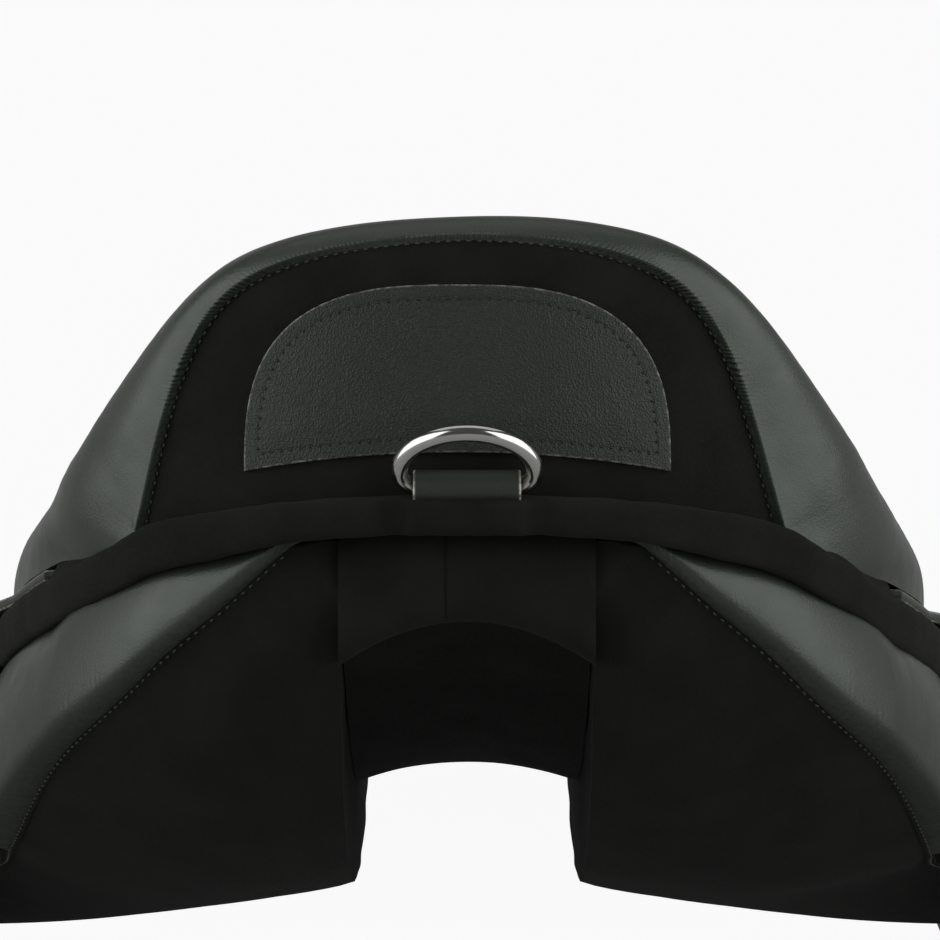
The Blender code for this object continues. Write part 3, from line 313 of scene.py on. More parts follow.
SEAM_TOP_Z = CANTLE_TOP_Z - SEAM_BELOW_TOP
SEAM_RISE = SEAM_TOP_Z - CORNER_Z
CORNER = on_back(CORNER_HALF_WIDTH, CORNER_Z)
SIDE = (SIDE_HALF_WIDTH, -0.165, CORNER_Z - 0.51 * (CORNER_Z - SEAT_EDGE_Z))
WIDEST = (SEAT_HALF_WIDTH, -0.085, SEAT_EDGE_Z)
THIGH = (THIGH_HALF_WIDTH, -0.005, SEAT_EDGE_Z - 0.003)
WAIST = (WAIST_HALF_WIDTH, 0.065, WAIST_EDGE_Z)
HEAD = (HEAD_HALF_WIDTH, 0.140, WAIST_EDGE_Z + 0.36 * (POMMEL_EDGE_Z - WAIST_EDGE_Z))
HEAD_CORNER = (POMMEL_HALF_WIDTH, 0.192, POMMEL_EDGE_Z - 0.013)
FRONT = (0.0, POMMEL_FRONT_Y, POMMEL_EDGE_Z)
FORWARD_EDGE = [SIDE, WIDEST, THIGH, WAIST, HEAD, HEAD_CORNER, FRONT]

# The stitched seam over the cantle, then the lower edge of the seat leather.
EDGE = [
    on_back(0.0, SEAM_TOP_Z),
    on_back(0.62 * CORNER_HALF_WIDTH, SEAM_TOP_Z - 0.126 * SEAM_RISE),
    on_back(0.862 * CORNER_HALF_WIDTH, SEAM_TOP_Z - 0.46 * SEAM_RISE),
    CORNER,
] + FORWARD_EDGE

# The straight run of the same line along the top of the rear binding.
BASE = [
    on_back(0.0, BASE_REAR_Z),
    on_back(0.36 * CORNER_HALF_WIDTH, BASE_REAR_Z - 0.13 * (BASE_REAR_Z - CORNER_Z)),
    on_back(0.70 * CORNER_HALF_WIDTH, BASE_REAR_Z - 0.49 * (BASE_REAR_Z - CORNER_Z)),
    CORNER,
] + FORWARD_EDGE


def off_edge(point, dx, dy, dz):
    return (point[0] + dx, point[1] + dy, point[2] + dz)


# The outermost line of the roll, seen as the outline from behind.
RIDGE = [
    (0.0, CANTLE_BACK_Y + 0.011, CANTLE_TOP_Z + 0.0004),
    (0.72 * CORNER_HALF_WIDTH, CANTLE_BACK_Y + 0.019, CANTLE_TOP_Z - 0.0106),
    (1.07 * CORNER_HALF_WIDTH, CANTLE_BACK_Y + 0.037, CANTLE_TOP_Z - 0.040),
    (1.286 * CORNER_HALF_WIDTH, CANTLE_BACK_Y + 0.060, CORNER_Z + 0.019),
    off_edge(SIDE, 0.0060, 0.031, 0.0150),
    off_edge(WIDEST, -0.0026, 0.006, 0.0155),
    off_edge(THIGH, -0.005, 0.004, 0.014),
    off_edge(WAIST, -0.005, 0.001, 0.014),
    off_edge(HEAD, -0.004, 0.000, 0.015),
    off_edge(HEAD_CORNER, -0.004, -0.005, 0.016),
    off_edge(FRONT, 0.0, -0.006, 0.016),
]

# The inner shoulder, where the roll turns into the dished seat.
SHELF = [
    (0.0, CANTLE_BACK_Y + 0.035, CANTLE_TOP_Z - 0.020),
    (0.56 * CORNER_HALF_WIDTH, CANTLE_BACK_Y + 0.042, CANTLE_TOP_Z - 0.030),
    (0.80 * CORNER_HALF_WIDTH, CANTLE_BACK_Y + 0.061, CANTLE_TOP_Z - 0.050),
    (0.95 * CORNER_HALF_WIDTH, CANTLE_BACK_Y + 0.092, SEAT_DIP_Z + 0.012),
    (0.65 * SEAT_HALF_WIDTH, -0.100, SEAT_DIP_Z + 0.001),
    (0.64 * SEAT_HALF_WIDTH, -0.055, SEAT_DIP_Z - 0.003),
    (0.59 * THIGH_HALF_WIDTH, 0.005, SEAT_DIP_Z - 0.005),
    (0.54 * WAIST_HALF_WIDTH, 0.062, SEAT_DIP_Z + 0.001),
    (0.53 * HEAD_HALF_WIDTH, 0.115, SEAT_DIP_Z + 0.018),
    (0.43 * POMMEL_HALF_WIDTH, 0.166, POMMEL_TOP_Z - 0.005),
    (0.0, 0.180, POMMEL_TOP_Z - 0.001),
]

# The centre line of the dish, from the foot of the cantle to the pommel.
SPINE_Y = [-0.165, -0.152, -0.135, -0.112, -0.080, -0.045, 0.000, 0.050, 0.098, 0.150, 0.166]
DIP_Y = [-0.200, -0.165, -0.120, -0.060, -0.010, 0.040, 0.090, 0.130, 0.168, 0.190]
DIP_RISE = [0.050, 0.029, 0.011, 0.002, 0.000, 0.003, 0.012, 0.025, 0.0395, 0.044]
SPINE = [(0.0, y, SEAT_DIP_Z + float(cubic(DIP_Y, DIP_RISE, y)[0])) for y in SPINE_Y]

KNOTS = chord(np.array(RIDGE))


def rail(stations, at):
    """A guide curve whose two ends cross the centre plane squarely."""
    points = np.array(stations, float)
    before, after = flip(points[2:0:-1], -1), flip(points[-2:-4:-1], -1)
    start, end = KNOTS[0], KNOTS[-1]
    knots = np.concatenate([2 * start - KNOTS[2:0:-1], KNOTS, 2 * end - KNOTS[-2:-4:-1]])
    return cubic(knots, np.concatenate([before, points, after]), at)


def edge_rail(at):
    """Edge of the seat leather: the arched seam, a corner, then the base line."""
    at = np.atleast_1d(np.asarray(at, float))
    arch = np.array(EDGE[:4], float)
    knots = np.concatenate([-KNOTS[2:0:-1], KNOTS[:4]])
    seam = cubic(knots, np.concatenate([flip(arch[2:0:-1], -1), arch]), np.minimum(at, KNOTS[3]))
    return np.where((at <= KNOTS[3])[:, None], seam, rail(BASE, at))


DENSE = np.linspace(KNOTS[0], KNOTS[-1], 600)
DENSE_BASE = rail(BASE, DENSE)


def where_y(y):
    """Rail position of a distance along the saddle."""
    return np.interp(y, DENSE_BASE[:, 1], DENSE)


def where_x(x):
    """Rail position of a distance from the centre, behind the cantle."""
    rear = DENSE_BASE[:, 1] < -0.13
    return np.interp(x, DENSE_BASE[rear, 0], DENSE[rear])


def edge_at(y):
    """Distance from the centre and height of the base line, at a distance along the saddle."""
    return [np.interp(y, DENSE_BASE[:, 1], DENSE_BASE[:, axis]) for axis in (0, 2)]


def outward(at):
    """Level direction that points away from the saddle, on the base line."""
    step = 0.0005
    run = rail(BASE, np.clip(at + step, 0, KNOTS[-1])) - rail(BASE, np.clip(at - step, 0, KNOTS[-1]))
    away = np.stack([run[:, 1], -run[:, 0], 0 * run[:, 0]], axis=1)
    return away / np.linalg.norm(away, axis=1, keepdims=True)


def side_x(y, z):
    """Inner face of the hanging leathers: out from the seat edge, then round the barrel."""
    edge_x, edge_z = edge_at(y)
    drop = np.maximum(edge_z - z, 0)
    barrel = 0.100 + 0.125 * (1 - np.exp(-(0.080 - np.asarray(z, float)) / 0.130))
    share = smooth(drop / SIDE_BLEND)
    return (edge_x + 0.5 * drop) * (1 - share) + barrel * share


# Mesh helpers


def unit(vectors):
    return vectors / np.maximum(np.linalg.norm(vectors, axis=-1, keepdims=True), 1e-12)


def ripple(points, wave, seed):
    """Smooth unevenness of about one unit high, the same at every run."""
    draw = np.random.default_rng(seed)
    total = 0
    for _ in range(6):
        way = unit(draw.normal(size=3)) * 2 * math.pi / (wave * draw.uniform(0.7, 1.5))
        total = total + np.sin(points @ way + draw.uniform(0, 2 * math.pi))
    return total / 6


def face_directions(grid):
    """Unit direction square to a grid at each of its points."""
    return unit(np.cross(np.gradient(grid, axis=0), np.gradient(grid, axis=1)))


def finer(grid, rows, columns):
    """Smooth surface through a coarse grid, at shares of its length and width."""
    grid = np.asarray(grid, float)
    for axis, shares in ((0, rows), (1, columns)):
        turned = np.moveaxis(grid, axis, 0)
        gaps = np.linalg.norm(np.diff(turned, axis=0), axis=2).mean(axis=1)
        knots = np.concatenate([[0], np.cumsum(gaps)])
        flat = turned.reshape(len(turned), -1)
        found = cubic(knots, flat, knots[-1] * shares)
        grid = np.moveaxis(found.reshape(len(shares), *turned.shape[1:]), 0, axis)
    return grid


def rim_shares(count, length, thickness):
    """Even shares of a length, with closer ones where a rounded rim turns over."""
    turn = np.array([0.0, 0.04, 0.15, 0.35, 0.65, 1.0, 1.6]) * thickness / 2 / length
    middle = np.linspace(3 * turn[-1], 1 - 3 * turn[-1], count)
    return np.concatenate([turn, middle, 1 - turn[::-1]])


def rim_distance(grid):
    """Distance of each point from the nearest side of its grid."""
    found = []
    for axis in (0, 1):
        gaps = np.linalg.norm(np.diff(grid, axis=axis), axis=2)
        start = np.insert(np.cumsum(gaps, axis=axis), 0, 0, axis=axis)
        total = np.take(start, [-1], axis=axis)
        found += [start, total - start]
    return np.minimum.reduce(found)


def quads(index):
    """Faces between neighbouring rows and columns of point numbers."""
    corners = [index[:-1, :-1], index[:-1, 1:], index[1:, 1:], index[1:, :-1]]
    return np.stack(corners, axis=-1).reshape(-1, 4).tolist()


def ring_faces(count, around, closed=False):
    """Faces along matching rings of points, then a cap at each end unless the row is closed."""
    index = np.arange(count * around).reshape(count, around)
    index = np.concatenate([index, index[:, :1]], axis=1)
    if closed:
        return quads(np.concatenate([index, index[:1]]))
    return quads(index) + [index[0, :-1].tolist(), index[-1, :-1].tolist()]


def spokes(first, second, count):
    """Unit directions round a circle, in the plane of two directions square to each other."""
    turn = np.linspace(0, 2 * math.pi, count, endpoint=False)[:, None]
    return np.cos(turn) * first[..., None, :] + np.sin(turn) * second[..., None, :]


def settled(points):
    """Leather and padding as they sit: to the right at the rear, and higher at the left."""
    x, y, z = points.T
    share = ramp(np.abs(x), 0.072, 0.034) * (1 - ramp(y, -0.135, 0.060))
    share = share * np.sign(x) * (1 - ramp(z, 0.108, 0.036))
    return points + np.stack([SIDE_SHIFT * np.abs(share), 0 * x, -RIGHT_SET * share], axis=1)


def tail_set(points):
    """The same set, stronger, where the seat leather meets the tails of the skirts."""
    x, y, z = np.moveaxis(points, -1, 0)
    share = ramp(np.abs(x), 0.105, 0.012) * (1 - ramp(y, -0.125, 0.050))
    points = points.copy()
    points[..., 2] -= TAIL_SET * np.sign(x) * share * (1 - ramp(z, 0.100, 0.015))
    return points


def make(name, points, faces, look, nodes=(), body="saddle", slot="leather", marks=None, sharp=50):
    """A visible piece: welded, faced outward, on its body and in place of its nodes."""
    mesh = bpy.data.meshes.new(name)
    mesh.from_pydata(settled(np.asarray(points, float).reshape(-1, 3)).tolist(), [], faces)
    if marks is not None:
        edge = mesh.attributes.new("edge", "FLOAT", "POINT")
        edge.data.foreach_set("value", np.asarray(marks, np.float32).ravel())
    work = bmesh.new()
    work.from_mesh(mesh)
    bmesh.ops.remove_doubles(work, verts=work.verts, dist=1e-6)
    bmesh.ops.recalc_face_normals(work, faces=work.faces)
    work.to_mesh(mesh)
    work.free()
    mesh.shade_smooth()
    mesh.set_sharp_from_angle(angle=math.radians(sharp))
    mesh.materials.append(look)
    piece = bpy.data.objects.new(name, mesh)
    bpy.context.scene.collection.objects.link(piece)
    if body:
        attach(piece, body)
    if nodes:
        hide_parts(*nodes)
    return piece


def shell(name, outer, under, look, welded=False, **place):
    """Closed piece between two grids with the same rows; welded grids fold shut at both ends."""
    rows, wide, narrow = len(outer), outer.shape[1], under.shape[1]
    half = rows * wide
    top = np.arange(half).reshape(rows, wide)
    low = half + np.arange(rows * narrow).reshape(rows, narrow)
    faces = quads(top) + quads(low)
    walls = [(top[:, 0], low[:, 0]), (top[:, -1], low[:, -1])]
    if not welded:
        walls += [(top[0], low[0]), (top[-1], low[-1])]
    for wall in walls:
        faces += quads(np.stack(wall))
    points = np.concatenate([outer.reshape(-1, 3), under.reshape(-1, 3)])
    return make(name, points, faces, look, **place)


def tube(name, sections, look, closed=False, **place):
    """Piece through matching closed sections, capped at its ends or joined into a ring."""
    sections = np.asarray(sections)
    faces = ring_faces(*sections.shape[:2], closed)
    return make(name, sections, faces, look, **place)


def round_sheet(name, grid, thickness, look, relief=0, raw=False, **place):
    """Leather of even thickness about a grid, with rounded rims marked for the cut-edge colour."""
    square = face_directions(grid)
    inside = rim_distance(grid)
    swell = np.sqrt(1 - (1 - np.minimum(inside / (thickness / 2), 1)) ** 2)[..., None]
    relief = np.broadcast_to(np.asarray(relief, float), inside.shape)[..., None]
    outer = grid + square * (thickness / 2 * swell + relief * np.minimum(swell, 1))
    under = grid - square * thickness / 2 * swell
    mark = 0.9 * fade(inside / thickness - 0.17, 0.055)
    if raw:
        mark = 1 - ramp(inside / thickness, 0.15, 0.30)
    return shell(name, outer, under, look, marks=np.stack([mark, mark]), **place), outer


def interp_rows(values, run, at):
    return np.stack([np.interp(at, run, values[:, i]) for i in range(values.shape[1])], axis=1)


def stitches(name, line, square, pitch, look, fill=0.72, thick=THREAD, lift=0.0, **place):
    """Thread along a line: one short plump capsule for each stitch."""
    line, square = np.asarray(line, float), np.asarray(square, float)
    run = chord(line)
    count = max(2, int(round(run[-1] / pitch)))
    step = run[-1] / count
    middle = (np.arange(count) + 0.5) * step
    centre = interp_rows(line, run, middle)
    up = unit(interp_rows(square, run, middle))
    before, after = (interp_rows(line, run, middle + part * step) for part in (-0.2, 0.2))
    ahead = unit(after - before)
    side = unit(np.cross(ahead, up))
    up = np.cross(side, ahead)
    reach = np.array([-1.0, -0.86, -0.5, 0.0, 0.5, 0.86, 1.0])
    girth = np.array([0.25, 0.70, 0.96, 1.0, 0.96, 0.70, 0.25])
    arch = lift - 0.8 * thick * reach**2
    length = reach * fill * step / 2
    spine = centre[:, None] + ahead[:, None] * length[:, None] + up[:, None] * arch[:, None]
    points = spine[:, :, None] + spokes(side, up, 8)[:, None] * (girth * thick)[:, None, None]
    capsule = ring_faces(*points.shape[1:3])
    size = points.shape[1] * points.shape[2]
    faces = [[first + i for i in face] for first in range(0, count * size, size) for face in capsule]
    return make(name, points, faces, look, **place)


def shade_cord(name, line, radius, look, **place):
    """Thin round cord of leather sewn along a line, narrowed at both ends; made black, it paints the shade
    in the gap of a seam.
    """
    line = np.asarray(line, float)
    run = unit(np.gradient(line, axis=0))
    first = unit(np.cross(run, (0.3, 0.2, 1.0)))
    second = np.cross(run, first)
    share = np.linspace(0, 1, len(line))
    size = radius * np.minimum(1, 0.2 + 12 * np.minimum(share, 1 - share))
    sections = line[:, None] + spokes(first, second, 10) * size[:, None, None]
    return tube(name, sections, look, **place)


# Finishes


LEATHER_SHEEN = (0.90, 1.0, 0.90, 1)
SUEDE_SHEEN = (0.5, 0.52, 0.48, 1)
STUDIO_WHITE = (0.998, 0.992, 1.0, 1)
FLOOR_GLOW = 0.90


class Look:
    """A Principled material whose colour, roughness and relief come from its own nodes."""

    def __init__(self, name, **sockets):
        self.material = bpy.data.materials.new(name)
        self.material.use_nodes = True
        self.tree = self.material.node_tree
        self.shader = self.tree.nodes["Principled BSDF"]
        for socket, value in sockets.items():
            self.shader.inputs[socket.replace("_", " ")].default_value = value
        self.place = self.node("ShaderNodeTexCoord").outputs["Object"]

    def node(self, kind, links=(), **values):
        made = self.tree.nodes.new(kind)
        for name, value in values.items():
            words = name.replace("_", " ")
            if words in made.inputs:
                made.inputs[words].default_value = value
            else:
                setattr(made, name, value)
        for socket, source in dict(links).items():
            self.tree.links.new(source, made.inputs[socket])
        return made

    def noise(self, scale, detail=2.0, at=None):
        links = {"Vector": at or self.place}
        return self.node("ShaderNodeTexNoise", links, Scale=scale, Detail=detail).outputs["Fac"]

    def stretched(self, scale):
        made = self.node("ShaderNodeMapping", {"Vector": self.place}, Scale=scale)
        return made.outputs["Vector"]

    def pebbles(self, scale):
        """Rounded grain cells, unevenly pushed about."""
        links = {"Vector": self.place}
        push = self.node("ShaderNodeTexNoise", links, Scale=scale * 0.45).outputs["Color"]
        moved = self.node("ShaderNodeVectorMath", {0: push, 2: self.place}, operation="MULTIPLY_ADD")
        moved.inputs[1].default_value = (0.9 / scale,) * 3
        links = {"Vector": moved.outputs[0]}
        cells = self.node("ShaderNodeTexVoronoi", links, Scale=scale, feature="SMOOTH_F1", Smoothness=0.45)
        return cells.outputs["Distance"]

    def between(self, share, low, high, start=0.3, end=0.7):
        limits = dict(From_Min=start, From_Max=end, To_Min=low, To_Max=high)
        return self.node("ShaderNodeMapRange", {"Value": share}, **limits).outputs["Result"]

    def mix(self, share, first, second):
        made = self.node("ShaderNodeMix", data_type="RGBA")
        self.tree.links.new(share, made.inputs["Factor"])
        for socket, value in ((6, first), (7, second)):
            if isinstance(value, tuple):
                made.inputs[socket].default_value = (*value, 1)
            else:
                self.tree.links.new(value, made.inputs[socket])
        return made.outputs[2]

    def colour(self, source):
        self.tree.links.new(source, self.shader.inputs["Base Color"])

    def rough(self, source):
        self.tree.links.new(source, self.shader.inputs["Roughness"])

    def bump(self, height, depth, strength=1.0, under=None):
        made = self.node("ShaderNodeBump", {"Height": height}, Distance=depth, Strength=strength)
        if under is not None:
            self.tree.links.new(under, made.inputs["Normal"])
        self.tree.links.new(made.outputs["Normal"], self.shader.inputs["Normal"])
        return made.outputs["Normal"]

    def edge(self):
        return self.node("ShaderNodeAttribute", attribute_name="edge").outputs["Fac"]


def shades(tone, dark, light):
    """A darker and a lighter shade of a colour."""
    return tuple(dark * c for c in tone), tuple(light * c for c in tone)


def leather_look(name, tone, rough, grain, depth, cut_edge_and_seam_shade=None, dull=None, shine=0.5):
    """Dyed leather: pebbled grain, faint creases, uneven dye and another colour on a marked edge: a cut
    edge, or on the seat and panel leathers painted shade along the seam.
    """
    look = Look(name, Specular_IOR_Level=shine, Specular_Tint=LEATHER_SHEEN)
    dye = look.mix(look.between(look.noise(38, 4), 0, 1), *shades(tone, 0.85, 1.15))
    # The marked colour is a cut edge on most leathers; on the seat and panel leathers it is painted shade
    # along the seam, with a duller finish there.
    if cut_edge_and_seam_shade:
        patchy = look.between(look.noise(620, 3), 0.15, 1.0, 0.4, 0.62)
        raw = look.node("ShaderNodeMath", {0: look.edge(), 1: patchy}, operation="MULTIPLY")
        dye = look.mix(raw.outputs[0], dye, cut_edge_and_seam_shade)
    look.colour(dye)
    polish = look.between(look.noise(140, 5), rough - 0.04, rough + 0.05)
    if dull:
        duller_at_seam = look.node("ShaderNodeMath", {0: polish, 1: look.between(look.edge(), 0, dull, 0, 1)})
        polish = duller_at_seam.outputs[0]
    look.rough(polish)
    creases = look.bump(look.noise(900, 4), depth * 0.6, 0.6)
    look.bump(look.pebbles(grain), depth, 0.8, creases)
    return look.material


def suede_look(name, tone):
    """Matte nap: brushed lighter and darker in patches, with a short fuzzy sheen."""
    sheen = dict(Sheen_Weight=0.02, Sheen_Roughness=0.6, Sheen_Tint=SUEDE_SHEEN)
    look = Look(name, Specular_IOR_Level=0.10, **sheen)
    nap = look.between(look.noise(55, 5), 0, 1)
    look.colour(look.mix(nap, *shades(tone, 0.75, 1.3)))
    look.rough(look.between(look.noise(900, 2), 0.84, 1.0))
    look.bump(look.noise(2600, 4), 0.00012, 0.9)
    return look.material


def metal_look(name, tone, rough, wear=0.05):
    """Polished or forged metal, with faint smears and fine scratches."""
    look = Look(name, Metallic=1.0)
    look.colour(look.mix(look.between(look.noise(210, 3), 0, 1), *shades(tone, 0.94, 1)))
    look.rough(look.between(look.noise(170, 5), rough, rough + wear))
    look.bump(look.noise(700, 3), 0.00001 + 0.0002 * rough**2, 0.3)
    return look.material


def thread_look(name, tone):
    """Twisted waxed thread."""
    look = Look(name, Specular_IOR_Level=0.4)
    twist = look.noise(3800, 2, look.stretched((1, 1, 0.6)))
    look.colour(look.mix(look.between(twist, 0, 1), *shades(tone, 0.6, 1)))
    look.rough(look.between(twist, 0.45, 0.7))
    look.bump(twist, 0.0001, 0.8)
    return look.material


def beech_look(name):
    """Bent laminated beech: long grain and small flecks."""
    look = Look(name, Specular_IOR_Level=0.3)
    grain = look.noise(90, 6, look.stretched((9, 1, 14)))
    look.colour(look.mix(look.between(grain, 0, 1), (0.026, 0.018, 0.012), (0.050, 0.036, 0.024)))
    look.rough(look.between(look.noise(300, 3), 0.5, 0.7))
    look.bump(grain, 0.0002, 0.5)
    return look.material


def webbing_look(name):
    """Woven strap: crossed ribs about 3 mm apart."""
    look = Look(name, Specular_IOR_Level=0.2, Sheen_Weight=0.2)
    ribs = {}
    for socket, way in enumerate("XY"):
        rib = dict(Scale=105.0, Distortion=0.6, bands_direction=way)
        ribs[socket] = look.node("ShaderNodeTexWave", {"Vector": look.place}, **rib).outputs["Fac"]
    weave = look.node("ShaderNodeMath", ribs, operation="MULTIPLY")
    look.colour(look.mix(weave.outputs[0], (0.40, 0.36, 0.28), (0.66, 0.62, 0.51)))
    look.rough(look.between(look.noise(400, 2), 0.8, 0.95))
    look.bump(weave.outputs[0], 0.0004, 0.8)
    return look.material


def floor_look(name):
    look = Look(name, Specular_IOR_Level=0.1)
    shade = look.between(look.noise(2, 2), 0, 1)
    look.colour(look.mix(shade, (0.435, 0.434, 0.436), (0.445, 0.444, 0.446)))
    look.rough(look.between(look.noise(30, 2), 0.85, 0.95))
    seen = look.node("ShaderNodeLightPath").outputs["Is Camera Ray"]
    look.shader.inputs["Emission Color"].default_value = STUDIO_WHITE
    glow = look.between(seen, 0, FLOOR_GLOW, 0, 1)
    look.tree.links.new(glow, look.shader.inputs["Emission Strength"])
    return look.material


# Each leather: name, dye, roughness, grain, depth of the grain, and colour of its cut edge, which on the
# seat and panel leathers is painted shade along the seam.
CUT_EDGE = (0.24, 0.23, 0.20)
PALE_EDGE = (0.46, 0.46, 0.40)
# Painted shade: near-black laid into the seat and gusset leathers along their seams, where the seam's
# valley lies in shade.
PAINTED_SEAM_SHADE = (0.004, 0.0045, 0.004)
SEAT_LEATHER = leather_look("seat leather", (0.0158, 0.0189, 0.0156), 0.40, 1700, 0.00007, PAINTED_SEAM_SHADE, 0.4)
PATCH_LEATHER = leather_look(
    "patch leather", (0.0089, 0.0104, 0.0085), 0.52, 1850, 0.00030, CUT_EDGE, shine=0.34
)
FLAP_LEATHER = leather_look(
    "flap leather", (0.0165, 0.0190, 0.0165), 0.42, 1300, 0.00007, (0.05, 0.048, 0.043)
)
SKIRT_LEATHER = leather_look("skirt leather", (0.0150, 0.0172, 0.0150), 0.46, 1400, 0.00006, PALE_EDGE)
LOOP_LEATHER = leather_look(
    "loop leather", (0.0135, 0.0152, 0.0132), 0.52, 1400, 0.00008, PALE_EDGE, shine=0.4
)
PANEL_LEATHER = leather_look("panel leather", (0.0146, 0.0174, 0.0145), 0.38, 1700, 0.00007, PAINTED_SEAM_SHADE, 0.4)
STRAP_LEATHER = leather_look(
    "strap leather", (0.0150, 0.0160, 0.0145), 0.50, 1200, 0.00008, (0.07, 0.06, 0.05)
)
BLACK_SUEDE = suede_look("black suede", (0.0066, 0.0069, 0.0060))
THREAD_LOOK = thread_look("waxed thread", (0.026, 0.028, 0.024))
# Thread for the patch: real thread, made near black to paint the shade in the stitch holes.
HOLE_SHADE_THREAD = thread_look("thread with painted hole shade", (0.0016, 0.0016, 0.0014))
CHROME = metal_look("polished chrome", (0.48, 0.48, 0.46), 0.10)
STEEL = metal_look("forged steel", (0.56, 0.56, 0.55), 0.30, 0.12)
SPRING_STEEL = metal_look("blued spring steel", (0.050, 0.051, 0.054), 0.42, 0.14)
BEECH = beech_look("laminated beech")
WEBBING = webbing_look("woven webbing")


# Seat


def seat_places():
    """Rail positions of the seat's rows: close enough for the puckers over the cantle."""
    return np.concatenate(
        [
            np.linspace(0, KNOTS[3], 600)[:-1],
            KNOTS[3] + (KNOTS[5] - KNOTS[3]) * np.linspace(0, 1, 80)[:-1] ** 1.2,
            np.linspace(KNOTS[5], KNOTS[-1], 80),
        ]
    )


def eased_edge(at):
    """The seat edge with its corner rounded off, which the swell of the roll follows."""
    shifts = np.linspace(-1, 1, 13)
    weights = 1 - shifts**2
    return sum(w * edge_rail(at + CORNER_EASE * v) for v, w in zip(shifts, weights)) / weights.sum()


def seat_half(at):
    """Right half of the seat: rows along the rim, columns from the edge to the centre line."""
    edge, ridge = edge_rail(at), rail(RIDGE, at)
    shelf, spine = rail(SHELF, at), rail(SPINE, at)
    eased = eased_edge(at)
    away = unit(np.cross(np.gradient(ridge, axis=0), ridge - eased))
    reach = np.linalg.norm(ridge - eased, axis=1, keepdims=True)
    flatter = 1 - 0.55 * smooth((at - KNOTS[3]) / (KNOTS[5] - KNOTS[3]))[:, None]
    swell = (eased + ridge) / 2 + away * ROLL_BULGE * flatter * reach
    near = np.array([0, 4, 7, 10, 13, 16, 19, 22, 25, 30, 37, 46, 58, 72]) / 10000
    rows = []
    for i in range(len(at)):
        half = [edge[i], swell[i], ridge[i], shelf[i], spine[i]]
        full = np.array(half + [flip(p, -1) for p in half[3:1:-1]])
        knots = chord(full)
        rest = near[-1] + (knots[4] - near[-1]) * np.linspace(0, 1, 44)[1:] ** 1.25
        rows.append(cubic(knots, full, np.concatenate([near, rest])))
    grid = np.array(rows)
    grid[:, -1, 0] = 0
    grid[[0, -1], :, 0] = 0
    return grid


def edge_distance(grid, edge):
    """How far each point of the seat lies from a line along its edge."""
    run = chord(edge)
    line = interp_rows(edge, run, np.linspace(0, run[-1], 4000))
    tree = KDTree(len(line))
    for number, point in enumerate(line):
        tree.insert(point, number)
    tree.balance()
    return np.array([tree.find(point)[2] for point in grid.reshape(-1, 3)]).reshape(grid.shape[:2])


def eased_corner(grid, corner, from_seam):
    """Round off the fold beside the cantle corner: each point moves to a plane fitted round it."""
    middle = grid[corner, 0]
    rise, run = unit(grid[corner - 20, 0] - middle), unit(grid[corner + 20, 0] - middle)
    out = unit(np.cross(rise, run))
    local = (grid - middle) @ np.stack([rise, np.cross(out, rise), out]).T
    away = np.linalg.norm(local, axis=2)
    near = away < 1.7 * EASE_REACH
    first, second, level = local[near].T
    patch = np.linalg.norm(np.cross(np.gradient(grid, axis=0), np.gradient(grid, axis=1)), axis=2)[near]
    apart = (first[:, None] - first) ** 2 + (second[:, None] - second) ** 2
    weight = np.exp(-apart / (2 * EASE_SPREAD**2)) * patch
    terms = np.stack([np.ones_like(first), first, second], axis=1)
    sums = weight @ (terms[:, :, None] * terms[:, None, :]).reshape(-1, 9)
    fitted = np.linalg.solve(sums.reshape(-1, 3, 3), (weight @ (terms * level[:, None]))[..., None])
    hold = smooth((1 - away[near] / EASE_REACH) / 0.6) * smooth(from_seam[near] / 0.004)
    shift = np.zeros(grid.shape[:2])
    shift[near] = ((fitted[..., 0] * terms).sum(axis=1) - level) * hold
    return grid + shift[..., None] * out


def seat_square(grid):
    """Outward directions of the right half, level across the centre plane."""
    square = face_directions(grid)
    square[[0, -1], :, 0] = 0
    square[:, -1, 0] = 0
    if square[len(grid) // 2, -2, 2] < 0:
        square = -square
    square[0, -1] = square[0, -2]
    square[-1, -1] = square[-1, -2]
    return unit(square)


def both_halves(grid):
    return np.concatenate([grid, flip(grid[:, -2::-1], -1)], axis=1)


def both_columns(values):
    return np.concatenate([values, values[:, -2::-1]], axis=1)


def seam_tilt(points):
    """How much higher the cantle stands at its right shoulder."""
    x, y = points[..., 0], points[..., 1]
    top = (1 - ramp(np.abs(x), 0.050, 0.022)) * (1 - ramp(y, -0.205, 0.030))
    return TILT * np.tanh(x / 0.020) * top * ramp(points[..., 2], 0.150, 0.020)


def seam_lean(points, past_corner, share):
    """Sideways set of the sewn cantle back, faded out past its corner and across the roll."""
    held = (1 - smooth(past_corner / LEAN_FADE)) * (1 - smooth(share))
    points = points.copy()
    points[..., 0] += LEAN * held
    points[..., 2] += seam_tilt(points)
    return points


def gathers(seam, pitch, stray, waves, level):
    """Puckers along a seam, at most one unit high, whose pitch strays and height comes and goes."""
    slow, quick, rise, drift = waves
    turns = seam / pitch + stray * np.sin(seam / slow) + 0.3 * np.sin(seam / quick)
    height = level + (1 - level) * np.sin(seam / rise + 2 * np.sin(seam / drift))
    return np.cos(2 * math.pi * turns) * height


# How far the lower edge of the seat hangs below its line, past the cantle corner.
APRON_X = [
    0.0875, 0.0918, 0.0960, 0.1002, 0.1043, 0.1075, 0.1105, 0.1135, 0.1157, 0.1192, 0.1254, 0.1300, 0.1350
]
APRON_DROP = [
    0.0005, 0.0018, 0.0030, 0.0040, 0.0046, 0.0044, 0.0032, 0.0017, 0.0011, 0.0008, 0.0005, 0.0002, 0.0
]


